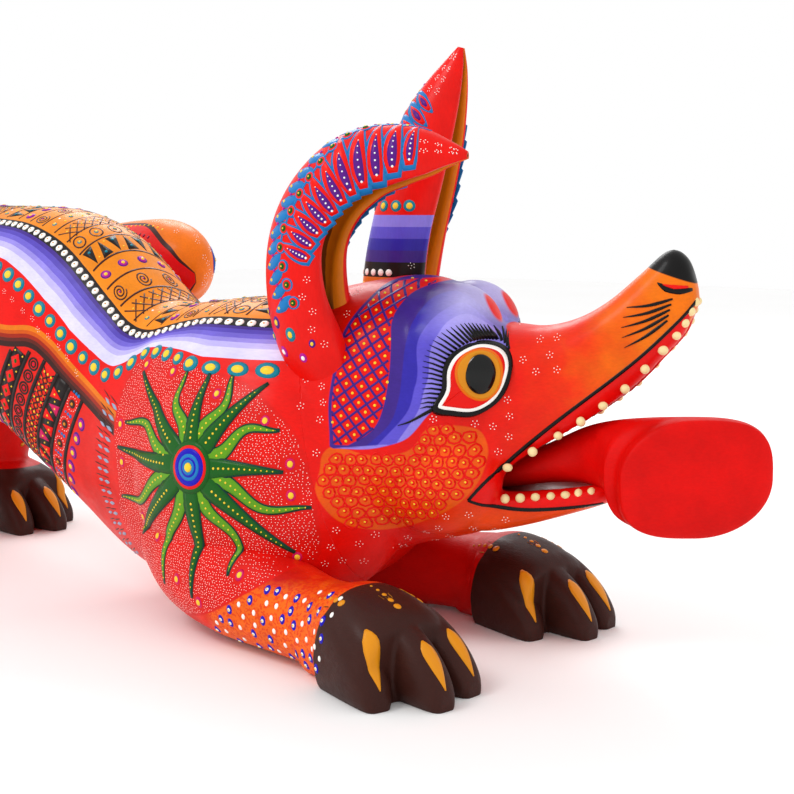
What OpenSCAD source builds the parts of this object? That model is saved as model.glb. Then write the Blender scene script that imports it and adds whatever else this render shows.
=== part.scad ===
// Carved wooden coyote in a play bow: a torso, a head, four legs, and ears, tongue and tail
// that plug in on round dowels. Units are millimetres. +X is forward, +Y is the animal's left.

/* [Figure] */
// Size of the whole carving against the drawn figure
figure_scale = 0.85; // [0.75:0.05:1]

/* [Pull-off parts] */
// Radius of the dowel in each ear
ear_peg_r = 4.5; // [3.5:0.5:5]
// Radius of the dowel in the tail
tail_peg_r = 6; // [4:0.5:7]
// Radius of the dowel in the tongue
tongue_peg_r = 5; // [4:0.5:6]
// Play between a dowel and its socket, on the radius
peg_play = 0.05; // [0.03:0.01:0.09]
// Gap between a plugged-in part and the wood it stands on
seat_gap = 0.4; // [0.3:0.05:0.6]
// Room for glue round a glued dowel, on the radius
glue_room = 0.03; // [0.02:0.01:0.08]

/* [Fixed dowels] */
// Radius of the dowels that hold the legs
leg_dowel_r = 6; // [4:0.5:7]
// Radius of the dowel between torso and head
neck_dowel_r = 12; // [8:1:15]

/* [Teeth] */
// Radius of one tooth peg
tooth_r = 2.7; // [2.2:0.1:3]

/* [Hidden] */

// The figure is drawn between the front paws. This puts the middle of its box at the origin.
box_middle = [-255.43, 12.42, 0];
red = [0.86, 0.10, 0.04];
orange = [0.93, 0.42, 0.06];
brown = [0.23, 0.11, 0.08];
cream = [0.97, 0.86, 0.62];
raw_wood = [0.80, 0.64, 0.42];
body_sides = 28;
limb_sides = 20;
side = [0, 1, 0];
play = peg_play / figure_scale;
gap = seat_gap / figure_scale;
glue = glue_room / figure_scale;
// How much deeper a socket is than its dowel, and how far its cutter stands out of the wood.
socket_spare = 2;
socket_mouth = 30;

// ---- rings and skins ----

// Signed power, which makes a round section squarer (k below 1) or more pinched (above 1).
function spow(v, k) = sign(v) * pow(abs(v), k);

// Ring of n points about c in the plane of u and v, with half-sizes a and b.
function ring(c, u, v, a, b, k, n) = [for (i = [0:n - 1])
    let (t = 360 * i / n) c + u * a * spow(cos(t), k) + v * b * spow(sin(t), k)];

// As ring, with one squareness for the upper half and another for the lower half.
function two_way_ring(c, u, v, a, b, k_up, k_low, n) = [for (i = [0:n - 1])
    let (t = 360 * i / n, k = sin(t) < 0 ? k_low : k_up)
    c + u * a * spow(cos(t), k) + v * b * spow(sin(t), k)];

// Ring between a top point and a bottom point in the middle plane: [xt, zt, xb, zb, half width].
function jaw_ring(r, k_up, k_low, n) =
    let (top = [r[0], 0, r[1]], low = [r[2], 0, r[3]], d = (top - low) / 2)
    two_way_ring((top + low) / 2, side, d / norm(d), r[4], norm(d), k_up, k_low, n);

function upright_ring(r, k, n) = jaw_ring(r, k, k, n);

function unit(v) = v / norm(v);

// One value on the smooth curve through four neighbours.
function through(a, b, c, d, t) = (2 * b + (c - a) * t + (2 * a - 5 * b + 4 * c - d) * t * t
    + (3 * b - a - 3 * c + d) * t * t * t) / 2;

// A row table with m - 1 smooth rows added between each pair of rows.
function smooth_rows(rows, m) = let (e = len(rows) - 1) [
    for (i = [0:e - 1], j = [0:m - 1])
        through(rows[max(i - 1, 0)], rows[i], rows[i + 1], rows[min(i + 2, e)], j / m),
    rows[e]];

// Closed skin over a list of rings that all have the same number of points.
module skin(rings) {
    n = len(rings[0]);
    m = len(rings);
    points = [for (r = rings) each r];
    walls = [for (i = [0:m - 2], j = [0:n - 1])
        let (a = i * n + j, b = i * n + (j + 1) % n)
        each [[b, a, b + n], [b + n, a, a + n]]];
    first = [for (j = [0:n - 1]) j];
    last = [for (j = [n - 1:-1:0]) (m - 1) * n + j];
    polyhedron(points, concat([first], walls, [last]));
}

// Limb table row: [x, y, z, half width, half height]. Rings stand across the row's own path.
function limb_rings(rows, k, n) = [for (i = [0:len(rows) - 1])
    let (
        r = rows[i],
        a = rows[max(i - 1, 0)],
        b = rows[min(i + 1, len(rows) - 1)],
        along = unit([b[0] - a[0], b[1] - a[1], b[2] - a[2]]),
        across = unit(cross([0, 0, 1], along)),
        up = cross(along, across)
    )
    ring([r[0], r[1], r[2]], across, up, r[3], r[4], k, n)];

// Round rod from point p along direction d.
module rod(p, d, r, length) {
    u = unit(d);
    tilt = acos(u[2]);
    turn = atan2(u[1], u[0]);
    translate(p) rotate([0, tilt, turn]) cylinder(h = length, r = r, $fn = 48);
}

// ---- torso and head ----

torso_rows = [
    [-566, 190, -566, 176, 8], [-562, 213, -562, 152, 30], [-548, 232, -550, 124, 47],
    [-520, 244, -524, 106, 58], [-470, 249, -474, 100, 65], [-410, 249, -414, 92, 66],
    [-365, 246, -368, 66, 63], [-326, 233, -326, 40, 58], [-295, 209, -290, 20, 57],
    [-266, 189, -252, 11, 66], [-224, 192, -206, 9, 78], [-194, 195, -165, 16, 76],
    [-168, 196, -134, 29, 69], [-150, 198, -110, 42, 62]];
skull_rows = [
    [-150, 198, -110, 42, 62], [-132, 203, -98, 48, 64], [-112, 207, -82, 54, 64],
    [-92, 210, -66, 58, 61], [-74, 209, -54, 61, 56], [-58, 202, -46, 64, 50],
    [-44, 188, -40, 72, 42], [-34, 172, -36, 88, 33], [-30, 155, -34, 104, 18]];
upper_jaw_rows = [
    [-78, 180, -76, 125, 28], [-48, 185, -40, 92, 40], [-30, 184, -20, 106, 36],
    [-12, 183, 2, 121, 31], [7, 188, 21, 134, 26], [24, 198, 39, 149, 20],
    [41, 213, 55, 167, 15.5], [56, 226, 66, 180, 13], [66, 222, 70, 190, 10],
    [71, 210, 73, 198, 5]];
lower_jaw_rows = [
    [-80, 84, -76, 66, 34], [-44, 90, -44, 65, 39], [-20, 92, -22, 69, 34],
    [4, 94, 4, 77, 28], [24, 97, 24, 84, 22], [34, 98, 34, 89, 15], [38, 97, 38, 93, 7]];
// The hollow of the mouth, cut out between the jaws.
mouth_rows = [
    [-46, 98, -46, 90, 22], [-20, 118, -20, 87, 26], [4, 140, 4, 88, 21],
    [28, 160, 28, 91, 15], [50, 180, 50, 95, 8], [76, 192, 76, 98, 5]];

// The neck turns the head to the left between these two places along the body.
bend_from = -192;
bend_to = -150;
head_turn = 20;
bend_r = (bend_to - bend_from) / (head_turn * PI / 180);

function bend_angle(x) = head_turn * min(max((x - bend_from) / (bend_to - bend_from), 0), 1);
function bend(p) =
    let (
        q = bend_angle(p[0]),
        before = min(p[0] - bend_from, 0),
        after = max(p[0] - bend_to, 0)
    )
    [bend_from + before + bend_r * sin(q) + after * cos(q) - p[1] * sin(q),
        bend_r * (1 - cos(q)) + after * sin(q) + p[1] * cos(q), p[2]];

// A direction on the straight figure, turned with the head.
function with_head(v) = [v[0] * cos(head_turn) - v[1] * sin(head_turn),
    v[0] * sin(head_turn) + v[1] * cos(head_turn), v[2]];

// Carries a piece drawn on the straight figure round to the turned head.
module head_frame() {
    translate(bend([bend_to, 0, 0])) rotate([0, 0, head_turn]) translate([-bend_to, 0, 0]) children();
}

module torso_solid() {
    skin([for (r = smooth_rows(torso_rows, 2))
        [for (p = upright_ring(r, 0.94, body_sides)) bend(p)]]);
}

module skull_solid() {
    skin([for (r = smooth_rows(skull_rows, 2)) upright_ring(r, 0.94, body_sides)]);
}

// Squareness of the jaws' outer side and of the side toward the mouth.
round_k = 0.95;
square_k = 0.55;
brow_at = [-60, 16, 180];
brow_r = 27;
eyeball_at = [-42, 26, 160];
eyeball_r = 17;

neck_from = [-188, -4, 122];
neck_axis = [1, 0.3, -0.1];
neck_length = 96;

module neck_dowel_solid(extra) {
    rod(neck_from - extra * unit(neck_axis), neck_axis, neck_dowel_r / figure_scale + extra,
        neck_length + 2 * extra);
}

// Draws the children on the right, then mirrored on the left.
module both_sides() {
    children();
    mirror([0, 1, 0]) children();
}

module head_solid() {
    difference() {
        union() {
            skull_solid();
            skin([for (r = smooth_rows(upper_jaw_rows, 2))
                jaw_ring(r, round_k, square_k, body_sides)]);
            skin([for (r = smooth_rows(lower_jaw_rows, 2))
                jaw_ring(r, square_k, round_k, body_sides)]);
            both_sides() translate(brow_at) sphere(r = brow_r, $fn = 40);
            both_sides() translate(eyeball_at) sphere(r = eyeball_r, $fn = 40);
        }
        skin([for (r = smooth_rows(mouth_rows, 2)) upright_ring(r, 0.9, limb_sides)]);
    }
}

// ---- ears: rows are [x, y, z, half width, half depth, wall] and the hollow faces forward ----

right_ear_rows = [
    [-120, -38, 146, 17, 19, 14], [-128, -44, 172, 24, 26, 17], [-135, -47, 200, 26, 25, 12],
    [-135, -47, 228, 26, 24, 8], [-125, -47, 250, 25, 24, 7], [-107, -46, 266, 24, 24, 6],
    [-86, -45, 272.5, 19, 21.5, 5], [-68, -45, 275, 13, 16, 4], [-55, -45, 276, 7, 8.5, 3],
    [-45, -45, 276, 2, 2.5, 1]];
left_ear_rows = [
    [-112, 34, 150, 15, 19, 14], [-112, 39, 178, 21, 26, 17], [-110, 41, 208, 22, 27, 12],
    [-105, 41, 236, 22, 26.5, 8], [-98, 41, 264, 20, 26, 7], [-91, 41, 292, 17, 24, 6],
    [-84, 41, 314, 12, 17, 5], [-79, 41, 330, 7, 9.5, 3], [-76, 41, 342, 2, 2.5, 1]];
ear_arc = 122;
ear_back_points = 12;
ear_front_points = 10;

// U-shaped section, closed at the back. Row path runs in the ear's own upright plane.
function ear_section(r, along) =
    let (c = [r[0], r[1], r[2]], front = unit(cross(side, along)), w = r[3], d = r[4], t = r[5])
    concat(
        [for (i = [0:ear_back_points]) let (q = ear_arc * (1 - 2 * i / ear_back_points))
            c - front * d * cos(q) + side * w * sin(q)],
        [for (i = [0:ear_front_points]) let (q = ear_arc * (2 * i / ear_front_points - 1))
            c - front * (d - t) * cos(q) + side * (w - t) * sin(q)]);

function ear_rings(rows) = [for (i = [0:len(rows) - 1])
    let (a = rows[max(i - 1, 0)], b = rows[min(i + 1, len(rows) - 1)])
    ear_section(rows[i], unit([b[0] - a[0], 0, b[2] - a[2]]))];

right_ear_axis = unit([-0.1, -0.2, 1]);
left_ear_axis = unit([-0.06, 0.16, 1]);
right_ear_foot = [-146, -46, 194];
left_ear_foot = [-123, 41, 200];
ear_peg_in_ear = 20;
ear_peg_in_head = 26;

// How many seat gaps stand above and beside the ear's root.
ear_seat = 2.2;
// How far the skull laps over the neck where they hollow the ear's root.
seat_lap = 0.2;

// The ear's root is hollowed to sit on the neck and skull.

module ear_solid(rows, axis, outward) {
    difference() {
        head_frame() skin(ear_rings(smooth_rows(rows, 3)));
        translate(ear_seat * gap * with_head(axis + outward * side)) {
            torso_solid();
            head_frame() translate([-seat_lap, 0, 0]) skull_solid();
        }
    }
}

// Dowel from the socket's floor up into the ear's thick root.
module ear_peg_solid(foot, axis, r, deeper, higher) {
    rod(foot - (ear_peg_in_head + deeper) * axis, axis, r / figure_scale,
        ear_peg_in_ear + ear_peg_in_head + deeper + higher);
}

// ---- tongue: rows are [x, y, z, half width, half height, degrees turned to the right] ----

tongue_rows = [
    [-38, 0, 96, 8, 7, 0], [-24, 0, 100, 10, 9, 0], [-6, -1, 106, 12, 12, 2],
    [12, -4, 111, 13, 16, 8], [28, -9, 112, 17, 20, 22], [45, -14, 110, 25, 25, 44],
    [62, -19, 107, 36, 30, 62], [74, -23, 106, 41, 32, 68], [78, -31, 106, 41, 32, 68],
    [79.2, -34, 106, 39, 30.5, 68], [79.8, -35.4, 106, 30, 23.5, 68], [80, -36, 106, 8, 6, 68]];
tongue_axis = unit([1, 0, 0.2]);
tongue_foot = [-37.5, 0, 96];
tongue_peg_in_tongue = 26;
tongue_peg_in_head = 24;

// How square the leaf gets at its upper right and lower left, from stem to blade.
function leaf_k(half_width) = 1 - 0.38 * min(max((half_width - 17) / 20, 0), 1);

// Rings of the tongue, grown by a margin: round at the stem and a cornered leaf at the blade.
function tongue_rings(rows, more) = [for (r = rows)
    let (u = [sin(r[5]), cos(r[5]), 0])
    [for (i = [0:body_sides - 1])
        let (t = 360 * i / body_sides, k = sin(2 * t) > 0 ? leaf_k(r[3]) : 1)
        [r[0], r[1], r[2]] + u * (r[3] + more) * spow(cos(t), k)
            + [0, 0, 1] * (r[4] + more) * spow(sin(t), k)]];

// ---- tail: curls from the rump forward along the left flank ----

tail_rows = [
    [-568, 0, 184, 15, 14], [-580, 6, 190, 18, 17], [-591, 30, 198, 22, 21],
    [-582, 62, 203, 25, 24], [-554, 88, 205, 27, 26], [-510, 101, 205, 28, 28],
    [-460, 103, 206, 28, 29], [-412, 98, 208, 28, 31], [-374, 89, 208, 27, 31],
    [-350, 83, 204, 21, 25], [-339, 80, 201, 11, 14], [-335, 79, 200, 4, 5]];
tail_axis = [-1, 0, 0];
tail_foot = [-567.5, 0, 182];
tail_peg_in_tail = 22;
tail_peg_in_torso = 36;

// ---- legs ----

// Front leg from inside the shoulder down to the wrist.
right_forearm = [
    [-226, -42, 56, 24, 30], [-196, -47, 42, 30, 34], [-160, -54, 34, 29, 32],
    [-120, -58, 28, 26, 27], [-88, -62, 25, 24, 24], [-66, -65, 25, 25, 25]];
left_forearm = [
    [-236, 42, 56, 24, 30], [-208, 50, 42, 30, 34], [-174, 62, 34, 29, 32],
    [-136, 73, 28, 26, 27], [-104, 81, 25, 24, 24], [-80, 85, 25, 25, 25]];
// Hind leg from inside the rump down to the ankle.
hind_thigh = [
    [-506, -34, 196, 20, 30], [-514, -48, 160, 24, 36], [-526, -55, 120, 23, 31],
    [-538, -57, 82, 21, 25], [-546, -57, 50, 20, 22], [-540, -57, 27, 23, 27]];
// Paw rows: [forward, half width, height].
paw_rows = [[-14, 23, 44], [0, 25, 50], [16, 28, 53], [32, 31, 50], [46, 31, 44], [52, 29, 38]];
toe_rows = [[30, 10, 44], [46, 11, 41], [60, 11, 33], [70, 10, 24], [77, 8, 14], [80, 5, 8]];
toe_spread = 17.8;
// How far each toe is set back, from the animal's right to its left.
toe_back = [18, 0, 5];
toe_fan = 7;
// The rounded underside reaches this far below the ground and is planed off flat there.
sole_depth = 3;

function paw_rings(rows, y) = [for (r = smooth_rows(rows, 2))
    ring([r[0], y, (r[2] - sole_depth) / 2], side, [0, 0, 1], r[1], (r[2] + sole_depth) / 2, 0.8,
        limb_sides)];

module paw_solid(at, turn) {
    translate(at) rotate([0, 0, turn]) {
        skin(paw_rings(paw_rows, 0));
        for (k = [-1:1]) rotate([0, 0, toe_fan * k]) translate([-toe_back[k + 1], 0, 0])
            skin(paw_rings(toe_rows, toe_spread * k));
    }
}

// Everything below the ground, for planing the soles flat.
module underground() {
    translate([-700, -200, -20]) cube([800, 400, 20]);
}

module front_leg_solid(rows, paw_at, paw_turn) {
    difference() {
        union() {
            skin(limb_rings(smooth_rows(rows, 2), 0.95, limb_sides));
            paw_solid(paw_at, paw_turn);
        }
        underground();
    }
}

// Hind rows run almost straight down, so their rings are turned about the width axis instead.
function shank_rings(rows) = [for (i = [0:len(rows) - 1])
    let (
        r = rows[i],
        a = rows[max(i - 1, 0)],
        b = rows[min(i + 1, len(rows) - 1)],
        along = unit([b[0] - a[0], 0, b[2] - a[2]])
    )
    ring([r[0], r[1], r[2]], -side, cross(side, along), r[3], r[4], 0.95, limb_sides)];

right_front_paw = [-67, -65, 0];
left_front_paw = [-80, 85, 0];
hind_paw = [-556, -57, 0];
right_front_paw_turn = -9;
left_front_paw_turn = -7;
hind_paw_turn = -3;

module right_hind_solid() {
    difference() {
        union() {
            skin(shank_rings(smooth_rows(hind_thigh, 2)));
            paw_solid(hind_paw, hind_paw_turn);
        }
        underground();
    }
}

// Each leg dowel: [start point, direction, length].
front_dowel_length = 70;
hind_dowel_length = 60;
right_front_dowel = [[-232, -40, 62], [1, -0.14, -0.45], front_dowel_length];
left_front_dowel = [[-242, 40, 62], [1, 0.26, -0.45], front_dowel_length];
hind_dowel = [[-508, -14, 176], [-0.1, -1, -0.75], hind_dowel_length];

module fixed_dowel(row, extra) {
    rod(row[0] - extra * unit(row[1]), row[1], leg_dowel_r / figure_scale + extra,
        row[2] + 2 * extra);
}

module all_leg_dowels(extra) {
    fixed_dowel(right_front_dowel, extra);
    fixed_dowel(left_front_dowel, extra);
    both_sides() fixed_dowel(hind_dowel, extra);
}

// ---- teeth: a row of pegs along each lip ----

// A place on a lip, f rows along the jaw's table, moved in by inset and along by lift.
function lip_point(rows, f, inset, lift, low) =
    let (
        i = min(floor(f), len(rows) - 2),
        t = f - i,
        r = rows[i] * (1 - t) + rows[i + 1] * t
    )
    low ? [r[2] + lift[0], -(r[4] - inset), r[3] + lift[1]]
        : [r[0] + lift[0], -(r[4] - inset), r[1] + lift[1]];

upper_tooth_count = 13;
lower_tooth_count = 8;
// The first tooth's place along the lip and the step to the next, counted in table rows.
upper_tooth_first = 1.2;
upper_tooth_step = 0.62;
lower_tooth_first = 1.4;
lower_tooth_step = 0.34;
// How far in from the lip's side a tooth stands.
tooth_inset = 3;

module tooth(p) {
    translate(p) sphere(r = tooth_r / figure_scale, $fn = 20);
}

module upper_teeth_solid() {
    both_sides() for (i = [0:upper_tooth_count - 1])
        tooth(lip_point(upper_jaw_rows, upper_tooth_first + i * upper_tooth_step, tooth_inset,
            [-1, 3], true));
}

module lower_teeth_solid() {
    both_sides() for (i = [0:lower_tooth_count - 1])
        tooth(lip_point(lower_jaw_rows, lower_tooth_first + i * lower_tooth_step, tooth_inset,
            [0, -3], false));
}

// ---- placing and sockets ----

module place() {
    scale(figure_scale) translate(-box_middle) children();
}

module torso() {
    color(red) place() difference() {
        torso_solid();
        neck_dowel_solid(glue);
        all_leg_dowels(glue);
        rod(tail_foot - (tail_peg_in_torso + socket_spare) * tail_axis, tail_axis,
            tail_peg_r / figure_scale + play, tail_peg_in_torso + socket_mouth);
        // The right ear stands across the glue line, so its socket runs into the torso too.
        head_frame() ear_peg_solid(right_ear_foot, right_ear_axis, ear_peg_r + peg_play,
            socket_spare, 0);
    }
}

module head() {
    color(red) place() difference() {
        head_frame() head_solid();
        neck_dowel_solid(glue);
        head_frame() {
            ear_peg_solid(right_ear_foot, right_ear_axis, ear_peg_r + peg_play, socket_spare, 0);
            ear_peg_solid(left_ear_foot, left_ear_axis, ear_peg_r + peg_play, socket_spare, 0);
            rod(tongue_foot - (tongue_peg_in_head + socket_spare) * tongue_axis, tongue_axis,
                tongue_peg_r / figure_scale + play, tongue_peg_in_head + socket_mouth);
            skin(tongue_rings(smooth_rows(tongue_rows, 2), gap));
        }
    }
}

module neck_dowel() { color(raw_wood) place() neck_dowel_solid(0); }

module right_ear() {
    color(red) place() difference() {
        ear_solid(right_ear_rows, right_ear_axis, -1);
        head_frame() ear_peg_solid(right_ear_foot, right_ear_axis, ear_peg_r + glue_room, 0, glue);
    }
}

module right_ear_peg() {
    color(raw_wood) place() head_frame()
        ear_peg_solid(right_ear_foot, right_ear_axis, ear_peg_r, 0, 0);
}

module left_ear() {
    color(red) place() difference() {
        ear_solid(left_ear_rows, left_ear_axis, 1);
        head_frame() ear_peg_solid(left_ear_foot, left_ear_axis, ear_peg_r + glue_room, 0, glue);
    }
}

module left_ear_peg() {
    color(raw_wood) place() head_frame()
        ear_peg_solid(left_ear_foot, left_ear_axis, ear_peg_r, 0, 0);
}

module tongue_peg_solid(extra) {
    rod(tongue_foot - tongue_peg_in_head * tongue_axis, tongue_axis,
        tongue_peg_r / figure_scale + extra, tongue_peg_in_head + tongue_peg_in_tongue + extra);
}

module tongue() {
    color(red) place() head_frame() difference() {
        skin(tongue_rings(smooth_rows(tongue_rows, 2), 0));
        tongue_peg_solid(glue);
    }
}

module tongue_peg() { color(raw_wood) place() head_frame() tongue_peg_solid(0); }

module tail_peg_solid(extra) {
    rod(tail_foot - tail_peg_in_torso * tail_axis, tail_axis, tail_peg_r / figure_scale + extra,
        tail_peg_in_torso + tail_peg_in_tail + extra);
}

module tail() {
    color(orange) place() difference() {
        skin(limb_rings(smooth_rows(tail_rows, 2), 0.96, body_sides));
        tail_peg_solid(glue);
        translate([gap * tail_axis[0], 0, 0]) torso_solid();
    }
}

module tail_peg() { color(raw_wood) place() tail_peg_solid(0); }

module right_front_leg() {
    color(brown) place() difference() {
        front_leg_solid(right_forearm, right_front_paw, right_front_paw_turn);
        torso_solid();
        head_frame() skull_solid();
        fixed_dowel(right_front_dowel, glue);
    }
}

module left_front_leg() {
    color(brown) place() difference() {
        front_leg_solid(left_forearm, left_front_paw, left_front_paw_turn);
        torso_solid();
        head_frame() skull_solid();
        fixed_dowel(left_front_dowel, glue);
    }
}

module right_hind_leg() {
    color(brown) place() difference() {
        right_hind_solid();
        torso_solid();
        fixed_dowel(hind_dowel, glue);
    }
}

module left_hind_leg() {
    color(brown) place() difference() {
        mirror([0, 1, 0]) right_hind_solid();
        torso_solid();
        mirror([0, 1, 0]) fixed_dowel(hind_dowel, glue);
    }
}

module leg_dowels() { color(raw_wood) place() all_leg_dowels(0); }

module upper_teeth() { color(cream) place() head_frame() upper_teeth_solid(); }

module lower_teeth() { color(cream) place() head_frame() lower_teeth_solid(); }

torso();
head();
neck_dowel();
right_ear();
right_ear_peg();
left_ear();
left_ear_peg();
tongue();
tongue_peg();
tail();
tail_peg();
right_front_leg();
left_front_leg();
right_hind_leg();
left_hind_leg();
leg_dowels();
upper_teeth();
lower_teeth();
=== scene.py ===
import math
import random
import bmesh
import bpy
import numpy as np
from mathutils import Matrix, Vector
from mathutils.bvhtree import BVHTree


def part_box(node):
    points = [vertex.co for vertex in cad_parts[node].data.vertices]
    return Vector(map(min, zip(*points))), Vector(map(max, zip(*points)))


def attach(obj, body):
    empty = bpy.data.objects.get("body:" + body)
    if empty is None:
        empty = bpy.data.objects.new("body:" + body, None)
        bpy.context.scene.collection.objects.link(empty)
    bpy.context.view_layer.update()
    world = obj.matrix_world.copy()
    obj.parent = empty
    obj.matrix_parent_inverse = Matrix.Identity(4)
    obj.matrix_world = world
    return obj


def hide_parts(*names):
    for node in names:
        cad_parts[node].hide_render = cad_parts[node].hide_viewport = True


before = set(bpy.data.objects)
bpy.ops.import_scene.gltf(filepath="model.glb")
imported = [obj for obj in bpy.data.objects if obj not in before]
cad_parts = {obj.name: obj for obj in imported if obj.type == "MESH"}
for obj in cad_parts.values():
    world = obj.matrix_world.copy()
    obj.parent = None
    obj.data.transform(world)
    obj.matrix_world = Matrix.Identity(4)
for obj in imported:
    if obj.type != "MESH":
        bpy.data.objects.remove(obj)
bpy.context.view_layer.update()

rng = random.Random(7)

# The figure is drawn in the same units and rows as its carved blocks, then set in the frame.
UNIT = 0.00085
RUMP_X = -566.0
MIDDLE_X = RUMP_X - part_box("torso")[0].x / UNIT
MIDDLE_Y = -(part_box("right_hind_leg")[0].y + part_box("left_hind_leg")[1].y) / 2 / UNIT
BEND_FROM, BEND_TO, HEAD_TURN = -192.0, -150.0, math.radians(20)
BEND_R = (BEND_TO - BEND_FROM) / HEAD_TURN


def bend(p, rigid):
    """Straight figure to the figure with its head turned. Rigid pieces belong to the head."""
    p = np.asarray(p, float)
    x = p[:, 0]
    t = np.ones(len(p)) if rigid else np.clip((x - BEND_FROM) / (BEND_TO - BEND_FROM), 0, 1)
    q = HEAD_TURN * t
    before = 0 if rigid else np.minimum(x - BEND_FROM, 0)
    after = x - BEND_TO if rigid else np.maximum(x - BEND_TO, 0)
    out = p.copy()
    out[:, 0] = BEND_FROM + before + BEND_R * np.sin(q) + after * np.cos(q) - p[:, 1] * np.sin(q)
    out[:, 1] = BEND_R * (1 - np.cos(q)) + after * np.sin(q) + p[:, 1] * np.cos(q)
    return out


def to_row(p):
    return (np.asarray(p, float) - (MIDDLE_X, MIDDLE_Y, 0.0)) * UNIT


# ---------- shapes ----------

def through(a, b, c, d, t):
    return (2 * b + (c - a) * t + (2 * a - 5 * b + 4 * c - d) * t * t
            + (3 * b - a - 3 * c + d) * t ** 3) / 2


def between(rows, u):
    """The smoothed row u rows along a table."""
    e = len(rows) - 1
    i = min(int(u), e - 1)
    return through(rows[max(i - 1, 0)], rows[i], rows[i + 1], rows[min(i + 2, e)], u - i)


def smooth_rows(rows, m):
    rows = np.array(rows, float)
    e = len(rows) - 1
    out = [through(rows[max(i - 1, 0)], rows[i], rows[i + 1], rows[min(i + 2, e)], j / m)
           for i in range(e) for j in range(m)]
    return np.array(out + [rows[e]])


def spow(v, k):
    return np.sign(v) * np.abs(v) ** k


def ring(c, u, v, a, b, k_up, k_low, n):
    t = np.linspace(0, 2 * math.pi, n, endpoint=False)
    k = np.where(np.sin(t) < 0, k_low, k_up)
    return (np.array(c)[None] + np.outer(a * spow(np.cos(t), k), u)
            + np.outer(b * spow(np.sin(t), k), v))


def upright_ring(r, k_up, k_low, n):
    top, low = np.array([r[0], 0, r[1]]), np.array([r[2], 0, r[3]])
    d = (top - low) / 2
    h = np.linalg.norm(d)
    return ring((top + low) / 2, (0, 1, 0), d / h, r[4], h, k_up, k_low, n)


def skin(rings):
    """Closed mesh over rings of equal count: (verts, faces)."""
    n, m = len(rings[0]), len(rings)
    verts = np.vstack(rings)
    faces = []
    for i in range(m - 1):
        for j in range(n):
            a, b = i * n + j, i * n + (j + 1) % n
            faces.append((a, b, b + n, a + n))
    faces.append(tuple(range(n - 1, -1, -1)))
    faces.append(tuple((m - 1) * n + j for j in range(n)))
    return verts, faces


def ball(c, r, stretch=(1, 1, 1), n=40):
    rings = []
    for i in range(1, n):
        a = math.pi * i / n
        t = np.linspace(0, 2 * math.pi, 2 * n, endpoint=False)
        across = math.sin(a)
        p = np.stack([np.full(2 * n, -math.cos(a)), across * np.cos(t), across * np.sin(t)], 1)
        rings.append(np.array(c) + p * r * np.array(stretch))
    return skin(rings)


def join(parts):
    verts, faces, at = [], [], 0
    for v, f in parts:
        verts.append(v)
        faces += [tuple(i + at for i in q) for q in f]
        at += len(v)
    return np.vstack(verts), faces


def linked(name, data):
    ob = bpy.data.objects.new(name, data)
    bpy.context.scene.collection.objects.link(ob)
    return ob


def mesh_object(name, verts, faces):
    me = bpy.data.meshes.new(name)
    me.from_pydata([tuple(v) for v in verts], [], faces)
    me.update()
    return linked(name, me)


def bake_modifiers(ob):
    dg = bpy.context.evaluated_depsgraph_get()
    dg.update()
    me = bpy.data.meshes.new_from_object(ob.evaluated_get(dg))
    ob.modifiers.clear()
    old = ob.data
    ob.data = me
    bpy.data.meshes.remove(old)


def carve(ob, voxel, smooth, cut=None, smooth_after=4):
    """Melts the overlapping solids of ob into one skin, smooths it, and cuts a hollow."""
    def melt(size, rounds):
        m = ob.modifiers.new("melt", "REMESH")
        m.mode, m.voxel_size = "VOXEL", size
        m = ob.modifiers.new("soft", "SMOOTH")
        m.factor, m.iterations = 0.5, rounds
    melt(voxel, smooth)
    if cut:
        m = ob.modifiers.new("cut", "BOOLEAN")
        m.operation, m.object, m.solver = "DIFFERENCE", cut, "MANIFOLD"
        melt(voxel * 0.9, smooth_after)
    bake_modifiers(ob)
    if cut:
        bpy.data.objects.remove(cut)


def coords(ob):
    co = np.empty(len(ob.data.vertices) * 3)
    ob.data.vertices.foreach_get("co", co)
    return co.reshape(-1, 3)


def set_coords(ob, co):
    ob.data.vertices.foreach_set("co", np.asarray(co, float).ravel())
    ob.data.update()


def tree_of(ob):
    return trees_of([(ob, False)])


def trees_of(objects):
    """One search tree over several carved pieces, bending those that are marked."""
    verts, faces = join([(bend(coords(ob), False) if bent else coords(ob),
                          [p.vertices for p in ob.data.polygons]) for ob, bent in objects])
    return BVHTree.FromPolygons([tuple(v) for v in verts], faces)


# ---------- the carved blocks: rows are [x top, z top, x bottom, z bottom, half width] ----------

TORSO = [
    [-566, 190, -566, 176, 8], [-562, 213, -562, 152, 30], [-548, 232, -550, 124, 47],
    [-520, 244, -524, 106, 58], [-470, 249, -474, 100, 65], [-410, 249, -414, 92, 66],
    [-365, 246, -368, 66, 63], [-326, 233, -326, 40, 58], [-295, 209, -290, 20, 57],
    [-266, 189, -252, 11, 63], [-224, 192, -206, 9, 71], [-194, 195, -165, 16, 72],
    [-168, 196, -134, 29, 68], [-150, 198, -110, 42, 62]]
SKULL = [
    [-150, 198, -110, 42, 62], [-132, 203, -98, 48, 64], [-112, 207, -82, 54, 64],
    [-92, 210, -66, 58, 61], [-74, 209, -54, 61, 56], [-58, 202, -46, 64, 50],
    [-44, 188, -40, 72, 42], [-34, 172, -36, 88, 33], [-30, 155, -34, 104, 18]]
UPPER_JAW = [
    [-78, 180, -76, 125, 28], [-48, 185, -40, 92, 40], [-30, 184, -20, 106, 36],
    [-12, 183, 2, 121, 31], [7, 188, 21, 134, 26], [24, 198, 39, 149, 20],
    [41, 213, 55, 167, 15.5], [56, 226, 66, 180, 13], [66, 222, 70, 190, 10],
    [71, 210, 73, 198, 5]]
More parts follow.
